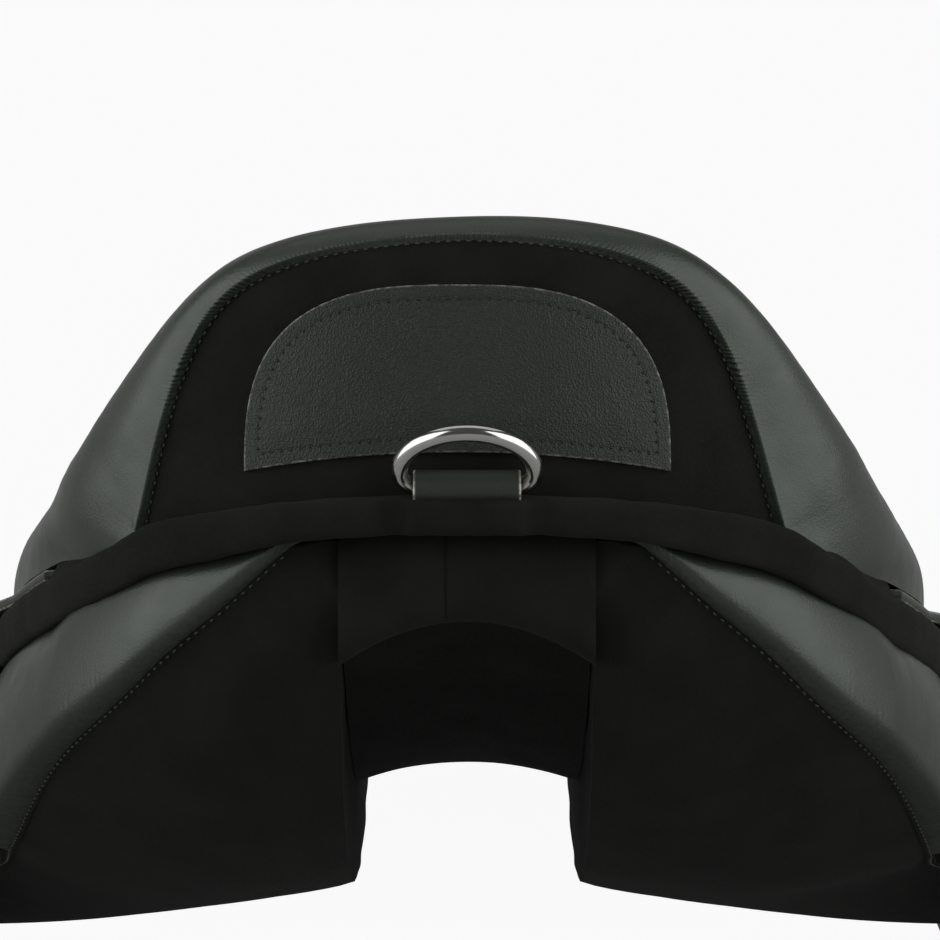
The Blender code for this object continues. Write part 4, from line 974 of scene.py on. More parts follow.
def seat_relief(grid, seam, corner, past, from_edge, from_seam):
    """Height added to the seat leather: valley and crest of the seam, puckers, flare and unevenness."""
    puckers = gathers(seam, PUCKER_PITCH, 0.5, (0.0041, 0.0017, 0.0071, 0.013), 0.55)
    gather = (PUCKER * puckers * (seam <= seam[corner]))[:, None]
    rise = smooth((from_seam - gather - 0.0002) / SEAM_TURN)
    full = (0.40 + 0.60 * ramp(seam, 0.030, 0.030))[:, None]
    crest = CREST * full * rise * fade(from_seam, CREST_REACH, 1) - SEAM_DEPTH * (1 - rise)
    folds = -0.45 * gather * smooth(from_seam / SEAM_TURN) * fade(from_seam, FOLD_REACH)
    lower = smooth(past / 0.010) * (1 - ramp(past, 0.080, 0.060))
    flare = FLARE * fade(from_edge, FLARE_REACH, 1) * lower
    soft = 0.00022 * ripple(grid * (1, 1, 1.4), 0.055, 3) * smooth(from_edge / 0.02)
    return soft + crest + folds + flare


def seat():
    at = seat_places()
    grid = seat_half(at)
    seam = chord(grid[:, 0])
    corner = int(np.argmin(np.abs(at - KNOTS[3])))
    from_edge = edge_distance(grid, grid[:, 0])
    grid = eased_corner(grid, corner, edge_distance(grid, grid[: corner + 1, 0]))
    square = seat_square(grid)
    past = np.maximum(seam - seam[corner], 0)[:, None]
    from_seam = edge_distance(grid, grid[: corner + 1, 0])
    relief = seat_relief(grid, seam, corner, past, from_edge, from_seam)
    moved = grid + square * relief[..., None]
    apron = np.interp(grid[:, :1, 0], APRON_X, APRON_DROP) * (past > 0)
    moved[..., 2] -= apron * fade(from_edge, APRON_REACH, 1.5)
    # Painted shade in the valley of the cantle seam: the seam-shade colour and a duller finish within about
    # 1.4 mm of the seam.
    marks = 1 - ramp(from_seam, 0.0002, 0.0012)
    picks = [0, 6, 19, 31, 43, grid.shape[1] - 1]
    depth = np.array([COVER_THICKNESS, COVER_THICKNESS, 0.008, 0.015, 0.018, 0.018])
    under = grid[:, picks] - square[:, picks] * depth[None, :, None]
    under[:, 0] = grid[:, 0] - outward(at) * COVER_THICKNESS
    under[[0, -1], :, 0] = 0
    across = from_edge / (0.8 * np.linalg.norm(rail(RIDGE, at) - grid[:, 0], axis=1))[:, None]
    past = np.broadcast_to(past, from_edge.shape)
    outer = tail_set(seam_lean(both_halves(moved), both_columns(past), both_columns(across)))
    under = seam_lean(both_halves(under), both_columns(past[:, picks]), both_columns(across[:, picks]))
    marks = np.concatenate([both_columns(marks).ravel(), both_columns(marks[:, picks]).ravel()])
    place = dict(nodes=("seat_cover", "seat_foam"), sharp=70, marks=marks)
    piece = shell("seat_leather", outer, under, SEAT_LEATHER, welded=True, **place)
    cantle_thread(grid[: corner + 1, 0])


def cantle_thread(arch):
    """Stitches just inside the seam over the cantle, from its right half."""
    line = np.concatenate([flip(arch[:0:-1], -1), arch]) + (LEAN, 0, 0)
    line[:, 2] += seam_tilt(line)
    ahead = unit(np.gradient(line, axis=0))
    inward = np.stack([ahead[:, 2], 0 * ahead[:, 1], -ahead[:, 0]], axis=1)
    line = line + inward * 0.0007 + (0, -0.0001, 0)
    thread = dict(slot="suede", fill=0.45, thick=CANTLE_THREAD)
    stitches("cantle_thread", line, backward(line), CANTLE_STITCH, THREAD_LOOK, **thread)


def backward(line):
    """Direction of the viewer behind the saddle, for each point of a line."""
    return np.broadcast_to(np.array((0, -1.0, 0)), line.shape)


# Cantle back


def seam_height(x):
    """Height of the seam over the cantle, at a distance from the centre."""
    seam = edge_rail(np.linspace(0, KNOTS[3], 300))
    return np.interp(np.abs(x), seam[:, 0], seam[:, 2])


def base_height(x):
    """Height of the base line behind the cantle."""
    base = rail(BASE, np.linspace(0, KNOTS[3], 300))
    return np.interp(np.abs(x), base[:, 0], base[:, 2])


def cantle_facing():
    """Suede facing, drawn in where it is sewn under the roll."""
    half = CORNER_HALF_WIDTH - 0.0004
    x = half * np.sin(np.linspace(-math.pi / 2, math.pi / 2, 181))[:, None]
    share = (1 - (1 - np.linspace(0, 1, 61)) ** 1.6)[None, :]
    low, top = base_height(x) - 0.003, seam_height(x) + 0.0004
    top = np.maximum(top, low + 0.0015)
    z = low + (top - low) * share
    steep = np.gradient(seam_height(x[:, 0]), x[:, 0])[:, None]
    inside = (top - z) / np.sqrt(1 + steep**2)
    tuck = 0.0016 * fade(inside, 0.0011, 1)
    crown = 0.0005 * smooth(inside / 0.012) * smooth((z - low) / 0.010)
    place = np.stack([x + 0 * z, 0 * z, z], axis=2)
    y = cantle_back_y(x) + GAP + tuck - crown + 0.00012 * ripple(place, 0.022, 8)
    place[..., 1] = y
    place[..., 0] += LEAN
    place[..., 2] += seam_tilt(place) * share
    inner = place + (0, FACING_THICKNESS, 0)
    shell("cantle_facing", place, inner, BLACK_SUEDE, nodes=("cantle_back_cover",), slot="suede")


def patch_sides():
    """Upper outline of the patch and its arched foot, both from left to right."""
    part = np.sin(np.linspace(-math.pi / 2, math.pi / 2, 1500))
    share = np.abs(part)
    top = PATCH_BASE_Z + PATCH_HEIGHT * (1 - share**PATCH_ROUNDNESS) ** (1 / PATCH_ROUNDNESS)
    low = PATCH_BASE_Z + PATCH_ARCH * (1 - share**2)
    x = part * PATCH_HALF_WIDTH
    return np.stack([x, top], axis=1), np.stack([x, low], axis=1)


def patch_ring(inset):
    """Closed outline at a distance inside the patch's edge: over the top, then back along the foot."""
    upper, lower = patch_sides()
    inner = []
    for line, turn in ((upper, 1), (lower, -1)):
        ahead = unit(np.gradient(line, axis=0))
        inner.append(line + turn * inset * np.stack([ahead[:, 1], -ahead[:, 0]], axis=1))
    upper, lower = inner
    above = upper[:, 1] > np.interp(upper[:, 0], lower[:, 0], lower[:, 1])
    first, last = np.flatnonzero(above)[[0, -1]]
    upper = upper[first : last + 1]
    lower = lower[(lower[:, 0] > upper[0, 0]) & (lower[:, 0] < upper[-1, 0])]
    lower = np.concatenate([upper[-1:], lower[::-1], upper[:1]])
    sides = []
    for line, count in ((upper, PATCH_TOP_POINTS), (lower, PATCH_FOOT_POINTS)):
        run = chord(line)
        sides.append(interp_rows(line, run, np.linspace(0, run[-1], count, endpoint=False)))
    return np.concatenate(sides)


def patch_stops():
    """Rings from the patch's edge inward: inset, height off the facing and share of cut edge."""
    rim = [(0.0, -0.0006, 1.0), (0.0, 0.0, 1.0), (0.0, 0.0017, 1.0)]
    rim += [(0.00010, 0.00192, 0.8), (0.00026, 0.00200, 0.4), (0.0006, 0.00203, 0.0)]
    seam = [(-0.0008, 0.00204), (-0.0004, 0.00202), (-0.00015, 0.00196), (0.0, 0.00194)]
    seam += [(0.00015, 0.00196), (0.0004, 0.00202), (0.0008, 0.00206), (0.0030, 0.00212)]
    return rim + [(PATCH_STITCH_INSET + off, height, 0.0) for off, height in seam]


def cantle_patch():
    """Leather patch sewn to the facing: a raw cut edge and a sunk line of stitches inside it."""
    insets, heights, marks = (list(column) for column in zip(*patch_stops()))
    rows = [patch_ring(inset) for inset in insets]
    last = rows[-1]
    count = len(last)
    spine = np.stack([0.55 * last[:, 0], np.full(count, PATCH_BASE_Z + 0.42 * PATCH_HEIGHT)], axis=1)
    for share in np.linspace(0, 1, 22)[1:]:
        rows.append(last + (spine - last) * share)
        heights.append(0.00215 + 0.0002 * smooth(share * 3))
        marks.append(0.0)
    rows = np.array(rows)
    y = cantle_back_y(rows[..., 0]) - np.array(heights)[:, None]
    points = np.stack([rows[..., 0] + LEAN, y, rows[..., 1]], axis=2)
    points[6:, :, 1] += 0.00008 * ripple(points[6:], 0.018, 5)
    faces = ring_faces(len(points), count)[:-1]
    marks = np.repeat(marks, count)
    make("cantle_patch_leather", points, faces, PATCH_LEATHER, nodes=("cantle_patch",), marks=marks)
    line = points[insets.index(PATCH_STITCH_INSET)]
    line = np.concatenate([line, line[:1]])
    # The patch thread is near black: real thread whose colour paints the shade in the stitch holes.
    thread = dict(slot="suede", fill=0.38, thick=PATCH_THREAD, lift=0.00002)
    stitches("patch_thread", line, backward(line), PATCH_STITCH, HOLE_SHADE_THREAD, **thread)


# Padded bindings


def binding(name, at, top_drop, height, depth, lip, nodes):
    """Padded roll below the seat edge, over a run of the base line and its mirror image."""
    base, away = rail(BASE, at), outward(at)
    turn = np.linspace(0, 2 * math.pi, 32, endpoint=False)
    bulge = np.sign(np.cos(turn)) * np.abs(np.cos(turn)) ** 0.5
    lift = np.sign(np.sin(turn)) * np.abs(np.sin(turn)) ** 0.6
    ends = np.minimum(1, 0.30 + 50 * (1 - np.linspace(0, 1, len(at))))[:, None]
    level = (base[:, 2] - top_drop - height / 2)[:, None] + lift * (height / 2)[:, None] * ends
    reach = depth[:, None] * (0.26 + bulge / 2 * ends)
    inner = smooth((0.30 * depth[:, None] - reach) / (0.25 * depth[:, None])) * (lift > 0)
    level = level - BINDING_SLANT * np.maximum(reach, 0) + lip[:, None] * inner
    flat = base[:, None, :2] + away[:, None, :2] * reach[..., None]
    half = np.concatenate([flat, level[..., None]], axis=2)
    middle = half.mean(axis=1, keepdims=True)
    half = half + (half - middle) * 0.05 * ripple(half, 0.012, 4)[..., None]
    sections = tail_set(np.concatenate([flip(half[:0:-1], -1), half]))
    piece = tube(name, sections, BLACK_SUEDE, nodes=nodes, slot="suede")


def binding_drop(y):
    """Room left above the binding, which makes way for the tail of the skirt."""
    return GAP + (SKIRT_THICKNESS + 3 * GAP) * ramp(y, -0.192, 0.022)


# Rear band, by distance from the centre: its top below the seat edge, and its height.
BAND_X = [-0.030, 0.0, 0.030, 0.050, 0.073, 0.0875, 0.0946, 0.1016, 0.1083, 0.1145, 0.1203, 0.130, 0.140]
BAND_TOP = [-0.0011, -0.0008, -0.0011, -0.0017, -0.0013, -0.0003, 0.0019, 0.0032, 0.0045]
BAND_TOP += [0.0052, 0.0052, 0.0050, 0.0048]
BAND_HEIGHT = [0.0102, 0.0102, 0.0102, 0.0111, 0.0135, 0.0144, 0.0140, 0.0137, 0.0136]
BAND_HEIGHT += [0.0139, 0.0146, 0.0151, 0.0151]


def bindings():
    at = np.linspace(0, where_y(BINDING_FRONT_Y), 180)
    base = rail(BASE, at)
    thinner = ramp(base[:, 0] / CORNER_HALF_WIDTH, 0.35, 0.60)
    depth = BINDING_DEPTH + (BINDING_SIDE_DEPTH - BINDING_DEPTH) * thinner
    depth = depth - DEE_LEG_DENT * fade(base[:, 0] - DEE_LEG_X, DEE_LEG_ROOM, 4)
    top = cubic(BAND_X, BAND_TOP, base[:, 0])
    height = np.interp(base[:, 0], BAND_X, BAND_HEIGHT)
    height = np.convolve(np.pad(height, 8, "edge"), np.ones(17) / 17, "valid")
    forward = ramp(base[:, 1], -0.170, 0.008)
    lip = BINDING_LIP + (BINDING_FORWARD_LIP - BINDING_LIP) * forward
    lip = lip * ramp(base[:, 0], 0.094, 0.010)
    binding("rear_band", at, top, height, depth, lip, ("rear_binding",))
    at = np.linspace(KNOTS[-1], where_y(POMMEL_BAND_REAR_Y), 60)
    sizes = (GAP, POMMEL_BAND_HEIGHT, POMMEL_BAND_DEPTH, 0.0)
    binding("pommel_band", at, *(np.full(60, size) for size in sizes), ("pommel_binding",))


# Panels

# Lower seam of the gusset and inner edge of the underside: heights along the saddle.
PANEL_SEAM_Y = [-0.236, -0.2299, -0.2270, -0.2236, -0.2196, -0.2145, -0.2079, -0.1991]
PANEL_SEAM_Y += [-0.185, -0.165, -0.130, -0.060, 0.040, 0.110, 0.150, 0.190]
PANEL_SEAM_Z = [0.1170, 0.1014, 0.0939, 0.0858, 0.0784, 0.0711, 0.0633, 0.0557]
PANEL_SEAM_Z += [0.0472, 0.0365, 0.0195, 0.0035, -0.0180, -0.0190, -0.0040, 0.0430]
PANEL_INNER_Y = [-0.236, -0.2275, -0.214, -0.185, -0.130, -0.060, 0.040, 0.110, 0.150, 0.190]
PANEL_INNER_Z = [0.0965, 0.0825, 0.0600, 0.0325, 0.0100, 0.0005, 0.0050, 0.0220, 0.0400, 0.0720]
GULLET_Y = [-0.215, -0.120, -0.020, 0.080, 0.165]
GULLET_ROOF = [0.084, 0.050, 0.036, 0.046, 0.080]


def panel_curves(at):
    """Gusset, underside and gullet wall of the right panel at one rail position."""
    base = rail(BASE, at)[0]
    out = outward(np.atleast_1d(at))[0]
    y = base[1]
    drop = BINDING_HEIGHT + GAP + binding_drop(y) + 0.0015 * ramp(y, -0.112, 0.020)
    drop = drop - PANEL_UNDER_BAND * (1 - ramp(base[0], 0.050, 0.025))
    tuck = PANEL_TUCK + PANEL_FRONT_TUCK * ramp(y, -0.112, 0.030)
    top = base - out * tuck - (0, 0, drop)
    seam_z = min(float(cubic(PANEL_SEAM_Y, PANEL_SEAM_Z, top[1])[0]), top[2] - 0.0015)
    front = ramp(top[1], -0.115, 0.075)
    room = 0.0010 + 0.0150 * ramp(top[1], 0.085, 0.030)
    seam_x = (top[0] + 0.004) * (1 - front) + (side_x(top[1], seam_z) - room) * front
    seam = np.array([seam_x, top[1], seam_z])
    inner_z = min(float(cubic(PANEL_INNER_Y, PANEL_INNER_Z, top[1])[0]), top[2] - 0.003)
    inner = np.array([GULLET_HALF_WIDTH + GAP, top[1], inner_z])
    inner_top = np.array([GULLET_HALF_WIDTH + GAP, top[1], top[2]])
    share = np.linspace(0, 1, 18)[:, None]
    swell = GUSSET_BULGE * (1 - front) + 0.0002 * front
    bulge = 4 * share * (1 - share) * swell * out * (1, 0, 0)
    gusset = top + (seam - top) * share + bulge
    limit = side_x(top[1], gusset[:, 2]) - room
    gusset[:, 0] = np.where(front > 0.02, np.minimum(gusset[:, 0], limit), gusset[:, 0])
    share = np.linspace(0, 1, 26)[:, None]
    crown = UNDERSIDE_CROWN * min(1.0, (seam[0] - inner[0]) / 0.06)
    sag = crown * np.sin(math.pi * share) ** 0.8
    under = seam + (inner - seam) * share - sag * np.array((0, 0, 1))
    wall = inner + (inner_top - inner) * np.linspace(0, 1, 8)[:, None]
    return gusset, under, wall


def panel(side, word):
    first, last = float(where_x(PANEL_REAR_X)), float(where_y(PANEL_FRONT_Y))
    turn = float(where_y(-0.150))
    places = np.concatenate([np.linspace(first, turn, 70)[:-1], np.linspace(turn, last, 70)])
    curves = [panel_curves(at) for at in places]
    sections = np.array([np.concatenate([g[:-1], u[:-1], w]) for g, u, w in curves])
    middle = sections.mean(axis=1, keepdims=True)
    sections = sections + 0.0004 * unit(sections - middle) * ripple(sections, 0.035, 6)[..., None]
    place = dict(nodes=(f"panel_{word}",), slot="suede")
    piece = tube(f"panel_suede_{word}", flip(sections, side), BLACK_SUEDE, **place)
    walls = [g for g, _, _ in curves if g[0, 2] - g[-1, 2] > 0.0017 and g[0, 1] < GUSSET_FRONT_Y]
    gusset(walls, side, word)


def gusset(curves, side, word):
    """Leather wall of the panel: puffed, puckered at its lower seam, and flat where the flap covers it."""
    columns = 1 - (1 - np.linspace(0, 1, 44)) ** 1.5
    rows = finer(np.array(curves), np.linspace(0, 1, 330), columns)
    square = face_directions(rows)
    if square[len(rows) // 2, 8, 0] < 0:
        square = -square
    run = np.cumsum(np.linalg.norm(np.diff(rows, axis=1), axis=2), axis=1)
    to_seam = run[:, -1:] - np.insert(run, 0, 0, axis=1)
    share = 1 - to_seam / run[:, -1:]
    covered = ramp(rows[:, :1, 1], -0.1075, 0.010)
    puff = GUSSET_SWELL + GUSSET_FORWARD_SWELL * ramp(rows[:, :1, 1], -0.222, 0.100)
    rise = np.sin(math.pi / 2 * np.minimum(share / 0.76, 1)) ** 0.65
    turn = np.sqrt(1 - np.clip((share - 0.86) / 0.14, 0, 1) ** 2)
    swell = np.minimum(0.17 * run[:, -1:], puff) * rise * turn
    seam = chord(rows[:, -1])
    puckers = gathers(seam, GUSSET_PUCKER_PITCH, 0.6, (0.0053, 0.0021, 0.0083, 0.017), 0.5)
    reach = 0.0042 + 0.0018 * np.sin(seam / 0.0037 + 2 * np.sin(seam / 0.011))
    pucker = GUSSET_PUCKER * puckers[:, None] * fade(to_seam, reach[:, None])
    turn_in = GUSSET_TURN_IN * fade(to_seam, GUSSET_TURN_REACH, 1.3)
    lift = GUSSET_THICKNESS + (swell - pucker - turn_in) * (1 - covered) - GUSSET_SINK * covered
    thin = GUSSET_THICKNESS * fade(to_seam, 0.0014, 1)
    skin = rows + square * (GAP - GUSSET_SINK * covered - thin)[..., None]
    outer = rows + square * (GAP + lift)[..., None]
    hidden = np.array((0, 0, 0.004)) - 0.003 * square[:, :1] * (1, 1, 0)
    skin = np.concatenate([skin[:, :1] + hidden, skin], axis=1)
    outer = np.concatenate([outer[:, :1] + hidden, outer], axis=1)
    # Painted shade: the seam-shade colour in a band about 3 mm wide along the lower seam, where the gusset
    # turns in.
    painted_shade = fade(to_seam, 0.0026, 1.6) * (1 - covered)
    painted_shade = np.concatenate([painted_shade[:, :1], painted_shade], axis=1)
    place = dict(nodes=(f"rear_gusset_{word}",), sharp=70, marks=np.stack([painted_shade, painted_shade]))
    shell(f"gusset_leather_{word}", flip(outer, side), flip(skin, side), PANEL_LEATHER, **place)
    # A black cord along the lower seam: painted shade that darkens the gap of the seam.
    line = outer[:, -1] - (0, 0, 0.0004)
    shade_cord(f"gusset_shade_cord_{word}", flip(line, side), SHADE_CORD_RADIUS, BLACK_SUEDE, slot="suede")
    line = flip(rows[:, -1] + square[:, -1] * 0.0007 - (0, 0, 0.0012), side)
    thread = dict(slot="suede", fill=0.4, thick=GUSSET_THREAD)
    ways = flip(square[:, -1], side)
    stitches(f"gusset_thread_{word}", line, ways, GUSSET_STITCH, THREAD_LOOK, **thread)


def panel_bridge():
    """Padded piece that joins the panels over the rear of the gullet, with its seam left of the middle."""
    half = GULLET_HALF_WIDTH + GAP
    close = BRIDGE_SEAM_X + np.linspace(-0.002, 0.002, 11)
    x = np.unique(np.concatenate([np.linspace(-half, half, 61), close]))
    valley = 0.0007 * fade(x - BRIDGE_SEAM_X, 0.0005)
    puff = 0.0012 * np.cos(math.pi * x / 2 / half) ** 0.5
    back = cantle_back_y(x) + 0.0015 + valley - puff
    top = base_height(x) - BINDING_HEIGHT + 0.0013
    low = BRIDGE_ARCH_Z - BRIDGE_ARCH_DROP * (x / GULLET_HALF_WIDTH) ** 2
    corners = [(0.002, top), (0.0, top - 0.004), (0.0, (top + low) / 2), (0.0, low + 0.005), (0.003, low)]
    corners += [(0.012, low + 0.0005)]
    corners += [(BRIDGE_DEPTH, z) for z in (low + 0.002, (top + low) / 2, top)]
    profile = np.array([np.stack([x, back + out, z], axis=1) for out, z in corners])
    share = np.linspace(0, 1, 34)
    sections = np.moveaxis(finer(profile, share, np.linspace(0, 1, len(x))), 1, 0)
    piece = tube("bridge_suede", sections, BLACK_SUEDE, nodes=("panel_bridge",), slot="suede")


def gullet_lining():
    """Roof of the channel, lowest below the deepest seat."""
    y = np.linspace(CANTLE_BACK_Y + 0.026, 0.165, 90)
    x = GULLET_HALF_WIDTH * np.linspace(-1, 1, 25)
    roof = cubic(GULLET_Y, GULLET_ROOF, y)[:, None] - GULLET_ARCH * (x / GULLET_HALF_WIDTH) ** 2
    grid = np.stack(np.broadcast_arrays(x[None, :], y[:, None], roof), axis=2)
    grid = grid + (0, 0, 0.0003) * ripple(grid, 0.03, 9)[..., None]
    upper = grid + (0, 0, LINING_THICKNESS)
    shell("channel_lining", grid, upper, BLACK_SUEDE, nodes=("gullet_lining",), slot="suede")


# Hanging leathers: each row hangs from one place on the seat edge


def rounded(z, bottom, line):
    """Edge line of a hanging leather, drawn in to a round lower end."""
    start = bottom + FLAP_ROUND
    share = np.clip((start - z) / FLAP_ROUND, 0, 0.9990)
    keep = (1 - share**2.5) ** 0.4
    return FLAP_MIDDLE_Y + (line - FLAP_MIDDLE_Y) * keep


def flap_front(z, bottom=FLAP_BOTTOM_Z):
    levels = [-0.300, -0.150, -0.060, 0.010, 0.060, 0.120]
    return rounded(z, bottom, cubic(levels, [0.148, 0.196, 0.212, 0.207, 0.186, 0.140], z))[0]


def flap_rear(z, bottom=FLAP_BOTTOM_Z):
    levels = [-0.300, -0.150, -0.050, 0.020, 0.060]
    return rounded(z, bottom, cubic(levels, [-0.072, -0.080, -0.092, -0.100, -0.102], z))[0]


def knee_room(y, z):
    """How far the flap stands out over the knee block."""
    return KNEE_ROOM * ramp(y, 0.105, 0.040) * smooth((0.030 - z) / 0.045)


def flap_x(y, z):
    """Inner face of the flap, which stands off the girth straps."""
    stand = FLAP_STAND_OFF * smooth((edge_at(y)[1] - z - 0.006) / 0.045)
    return side_x(y, z) + stand + knee_room(y, z)


def hung_levels(top, bottom):
    """Shares of a hanging leather's height, closer together round its lower end."""
    turn = 1 - FLAP_ROUND / (top - bottom)
    lower = turn + (1 - turn) * np.sin(np.linspace(0, math.pi / 2, 26))
    return np.concatenate([turn * np.linspace(0, 1, 7)[:-1] ** 1.4, lower])


def hung_row(level, shares, rear, front, outer):
    """Points across a hanging leather at one level; level gives a height for a place y."""
    row = []
    for share in shares:
        y = 0.03
        z = 0.0
        for _ in range(8):
            z = float(level(y))
            y = float(rear(z)) * (1 - share) + float(front(z, y)) * share
        row.append((float(outer(y, z)), y, z))
    return row


def hung_level(drop, low, part):
    """Level at a share of the way from a drop below the seat edge to a lower height."""
    return lambda y: (edge_at(y)[1] - drop) * (1 - part) + low * part


def flap_rows():
    """One leather from the tree to the foot of the flap, through the line where it bends."""
    shares = np.linspace(0, 1, 13)
    rows = []

    def rear(z):
        return flap_rear(min(z, 0.055))

    def front(z, y):
        return min(flap_front(z), 0.128 + 1.2 * max(edge_at(y)[1] - z - 0.011, 0))

    def outer(y, z):
        return flap_x(y, z) + FLAP_THICKNESS / 2

    for drop, reach in ((0.0109, -0.027), (0.0109, -0.014), (0.0118, -0.003)):
        tucked = hung_level(drop, 0, 0)
        rows.append(hung_row(tucked, shares, rear, front, lambda y, z, r=reach: edge_at(y)[0] + r))
    for part in np.linspace(0, 1, 7):
        rows.append(hung_row(hung_level(0.0155, FLAP_BEND_Z, part), shares, rear, front, outer))
    for part in hung_levels(FLAP_BEND_Z, FLAP_BOTTOM_Z)[1:]:
        height = FLAP_BEND_Z + (FLAP_BOTTOM_Z - FLAP_BEND_Z) * part
        level = hung_level(0, height, 1)
        rows.append(hung_row(level, shares, flap_rear, lambda z, y: flap_front(z), outer))
    return np.array(rows)


def sweat_flap_rows():
    shares = np.linspace(0, 1, 12)
    rows = []

    def rear(z):
        return flap_rear(min(z, 0.05), SWEAT_FLAP_BOTTOM_Z) + 0.020

    def front(z, y):
        top = 0.150 + 1.2 * max(edge_at(y)[1] - z - SWEAT_FLAP_BELOW_EDGE, 0)
        return min(flap_front(z, SWEAT_FLAP_BOTTOM_Z) - 0.022, top)

    def outer(y, z):
        return side_x(y, z) + SWEAT_FLAP_THICKNESS / 2

    for part in hung_levels(0.040, SWEAT_FLAP_BOTTOM_Z):
        level = hung_level(SWEAT_FLAP_BELOW_EDGE, SWEAT_FLAP_BOTTOM_Z, part)
        rows.append(hung_row(level, shares, rear, front, outer))
    return np.array(rows)


def outward_square(grid):
    """Face directions of a right-hand grid, turned away from the saddle."""
    square = face_directions(grid)
    if square[len(grid) // 2, grid.shape[1] // 2, 0] < 0:
        square = -square
    return square


def oriented(grid, side):
    """Right-hand grid, mirrored for its side, whose face directions point outward."""
    grid = flip(grid, side)
    if face_directions(grid)[len(grid) // 2, grid.shape[1] // 2, 0] * side < 0:
        grid = grid[:, ::-1]
    return grid


def groove(inside, inset, width=0.0009, depth=0.0004):
    """Creased line pressed into leather along its rim."""
    return -depth * fade(inside - inset, width)


def flap(side, word):
    rows = rim_shares(110, 0.42, FLAP_THICKNESS)
    columns = rim_shares(90, 0.26, FLAP_THICKNESS)
    grid = finer(FLAP_ROWS, rows, columns)
    grid = grid + outward_square(grid) * (0.0004 * ripple(grid, 0.070, 11))[..., None]
    grid = oriented(grid, side)
    relief = groove(rim_distance(grid), FLAP_CREASE)
    place = dict(nodes=(f"flap_top_{word}", f"flap_{word}"), body=None)
    piece, _ = round_sheet(f"flap_leather_{word}", grid, FLAP_THICKNESS, FLAP_LEATHER, relief, **place)
    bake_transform(piece)


def skirt_depth(y):
    """Length of the skirt below the seam: a thin tail, the apron, then a rounded front."""
    rise = ramp(y, -0.125, 0.160)
    fall = 1 - 0.55 * ramp(y, 0.085, 0.062)
    return SKIRT_TAIL + (SKIRT_DEPTH - SKIRT_TAIL) * rise * fall


# Path of the skirt down its side: drop below the seat edge, stand-off and share of the swell.
SKIRT_PATH = ((0.020, 0.015, 1.0), (0.045, 0.022, 0.5), (0.080, 0.0230, 0.2), (0.150, 0.0230, 0.0))


def skirt_rows():
    """Columns of the skirt from the rear: a flat tail that turns into a hanging apron."""
    columns = []
    for y in np.linspace(SKIRT_REAR_Y, SKIRT_FRONT_Y, 40):
        edge_x, edge_z = (float(v) for v in edge_at(y))
        whole = ramp(y, -0.114, 0.030)
        swell = SKIRT_BAR_SWELL * ramp(y, -0.030, 0.035) * smooth((0.152 - y) / 0.030)
        sink = 0.0004 * (1 - ramp(y, -0.150, 0.045))
        path = [(edge_x - SKIRT_TUCK, y, edge_z - 0.0027 - sink)]
        path.append((edge_x + 0.002, y, edge_z - 0.0030 - sink))
        for drop, stand, lift in SKIRT_PATH:
            level = edge_z - drop
            out = float(side_x(y, level)) + stand + swell * lift + float(knee_room(y, level))
            far = edge_x + 0.002 + 0.6 * drop
            z = edge_z - drop * whole - (0.0036 + sink) * (1 - whole)
            path.append((out * whole + far * (1 - whole), y, z))
        path = np.array(path)
        knots = chord(path)
        depth = float(skirt_depth(y))
        run = np.linspace(0, knots[-1], 240)
        hung = np.interp(0.88 * depth, edge_z - 0.003 - cubic(knots, path, run)[:, 2], run)
        reach = (0.0093 + depth) * (1 - whole) + float(hung) * whole
        columns.append(cubic(knots, path, reach * np.linspace(0, 1, 12) ** 1.1))
    return np.array(columns)


def rim_line(grid, square, inset):
    """Places at one distance from the last column of a grid, and the directions there."""
    line, ways = [], []
    for row, way in zip(grid[:, ::-1], square[:, ::-1]):
        run = chord(row)
        line.append(interp_rows(row, run, [inset])[0])
        ways.append(interp_rows(way, run, [inset])[0])
    return np.array(line), np.array(ways)


def skirt(side, word):
    rows = rim_shares(150, 0.32, SKIRT_THICKNESS)
    columns = rim_shares(50, 0.10, SKIRT_THICKNESS)
    close = np.array([0.06, 0.15, 0.25, 0.35, 0.5, 0.7, 1.0]) * SKIRT_THICKNESS / 2 / 0.0103
    columns = np.unique(np.concatenate([columns, close, 1 - close]).round(5))
    grid = tail_set(oriented(finer(SKIRT_ROWS, rows, columns), side))
    relief = groove(rim_distance(grid), SKIRT_STITCH_INSET)
    place = dict(nodes=(f"skirt_{word}",))
    _, outer = round_sheet(f"skirt_leather_{word}", grid, SKIRT_THICKNESS, SKIRT_LEATHER, relief, **place)
    if outer[len(outer) // 2, 0, 2] < outer[len(outer) // 2, -1, 2]:
        outer = outer[:, ::-1]
    square = unit(face_directions(outer))
    square = square * np.sign((square[..., :1] * side).mean())
    foot, foot_square = rim_line(outer, square, SKIRT_STITCH_INSET)
    front, front_square = rim_line(outer.swapaxes(0, 1), square.swapaxes(0, 1), SKIRT_STITCH_INSET)
    kept = (foot[:, 1] > -0.075) & (foot[:, 1] < front[-1, 1] - 0.002)
    raised = (front[:, 2] > foot[kept][-1, 2] + 0.002) & (np.arange(len(front)) > 14)
    line = np.concatenate([foot[kept], front[raised][::-1]])
    ways = np.concatenate([foot_square[kept], front_square[raised][::-1]])
    stitches(f"skirt_thread_{word}", line, ways, SKIRT_STITCH, THREAD_LOOK, fill=0.66, lift=0.0001)


def sweat_flap(side, word):
    rows = rim_shares(80, 0.30, SWEAT_FLAP_THICKNESS)
    columns = rim_shares(70, 0.20, SWEAT_FLAP_THICKNESS)
    grid = oriented(finer(SWEAT_ROWS, rows, columns), side)
    relief = groove(rim_distance(grid), SWEAT_FLAP_CREASE)
    place = dict(nodes=(f"sweat_flap_{word}",))
    round_sheet(f"sweat_leather_{word}", grid, SWEAT_FLAP_THICKNESS, FLAP_LEATHER, relief, **place)


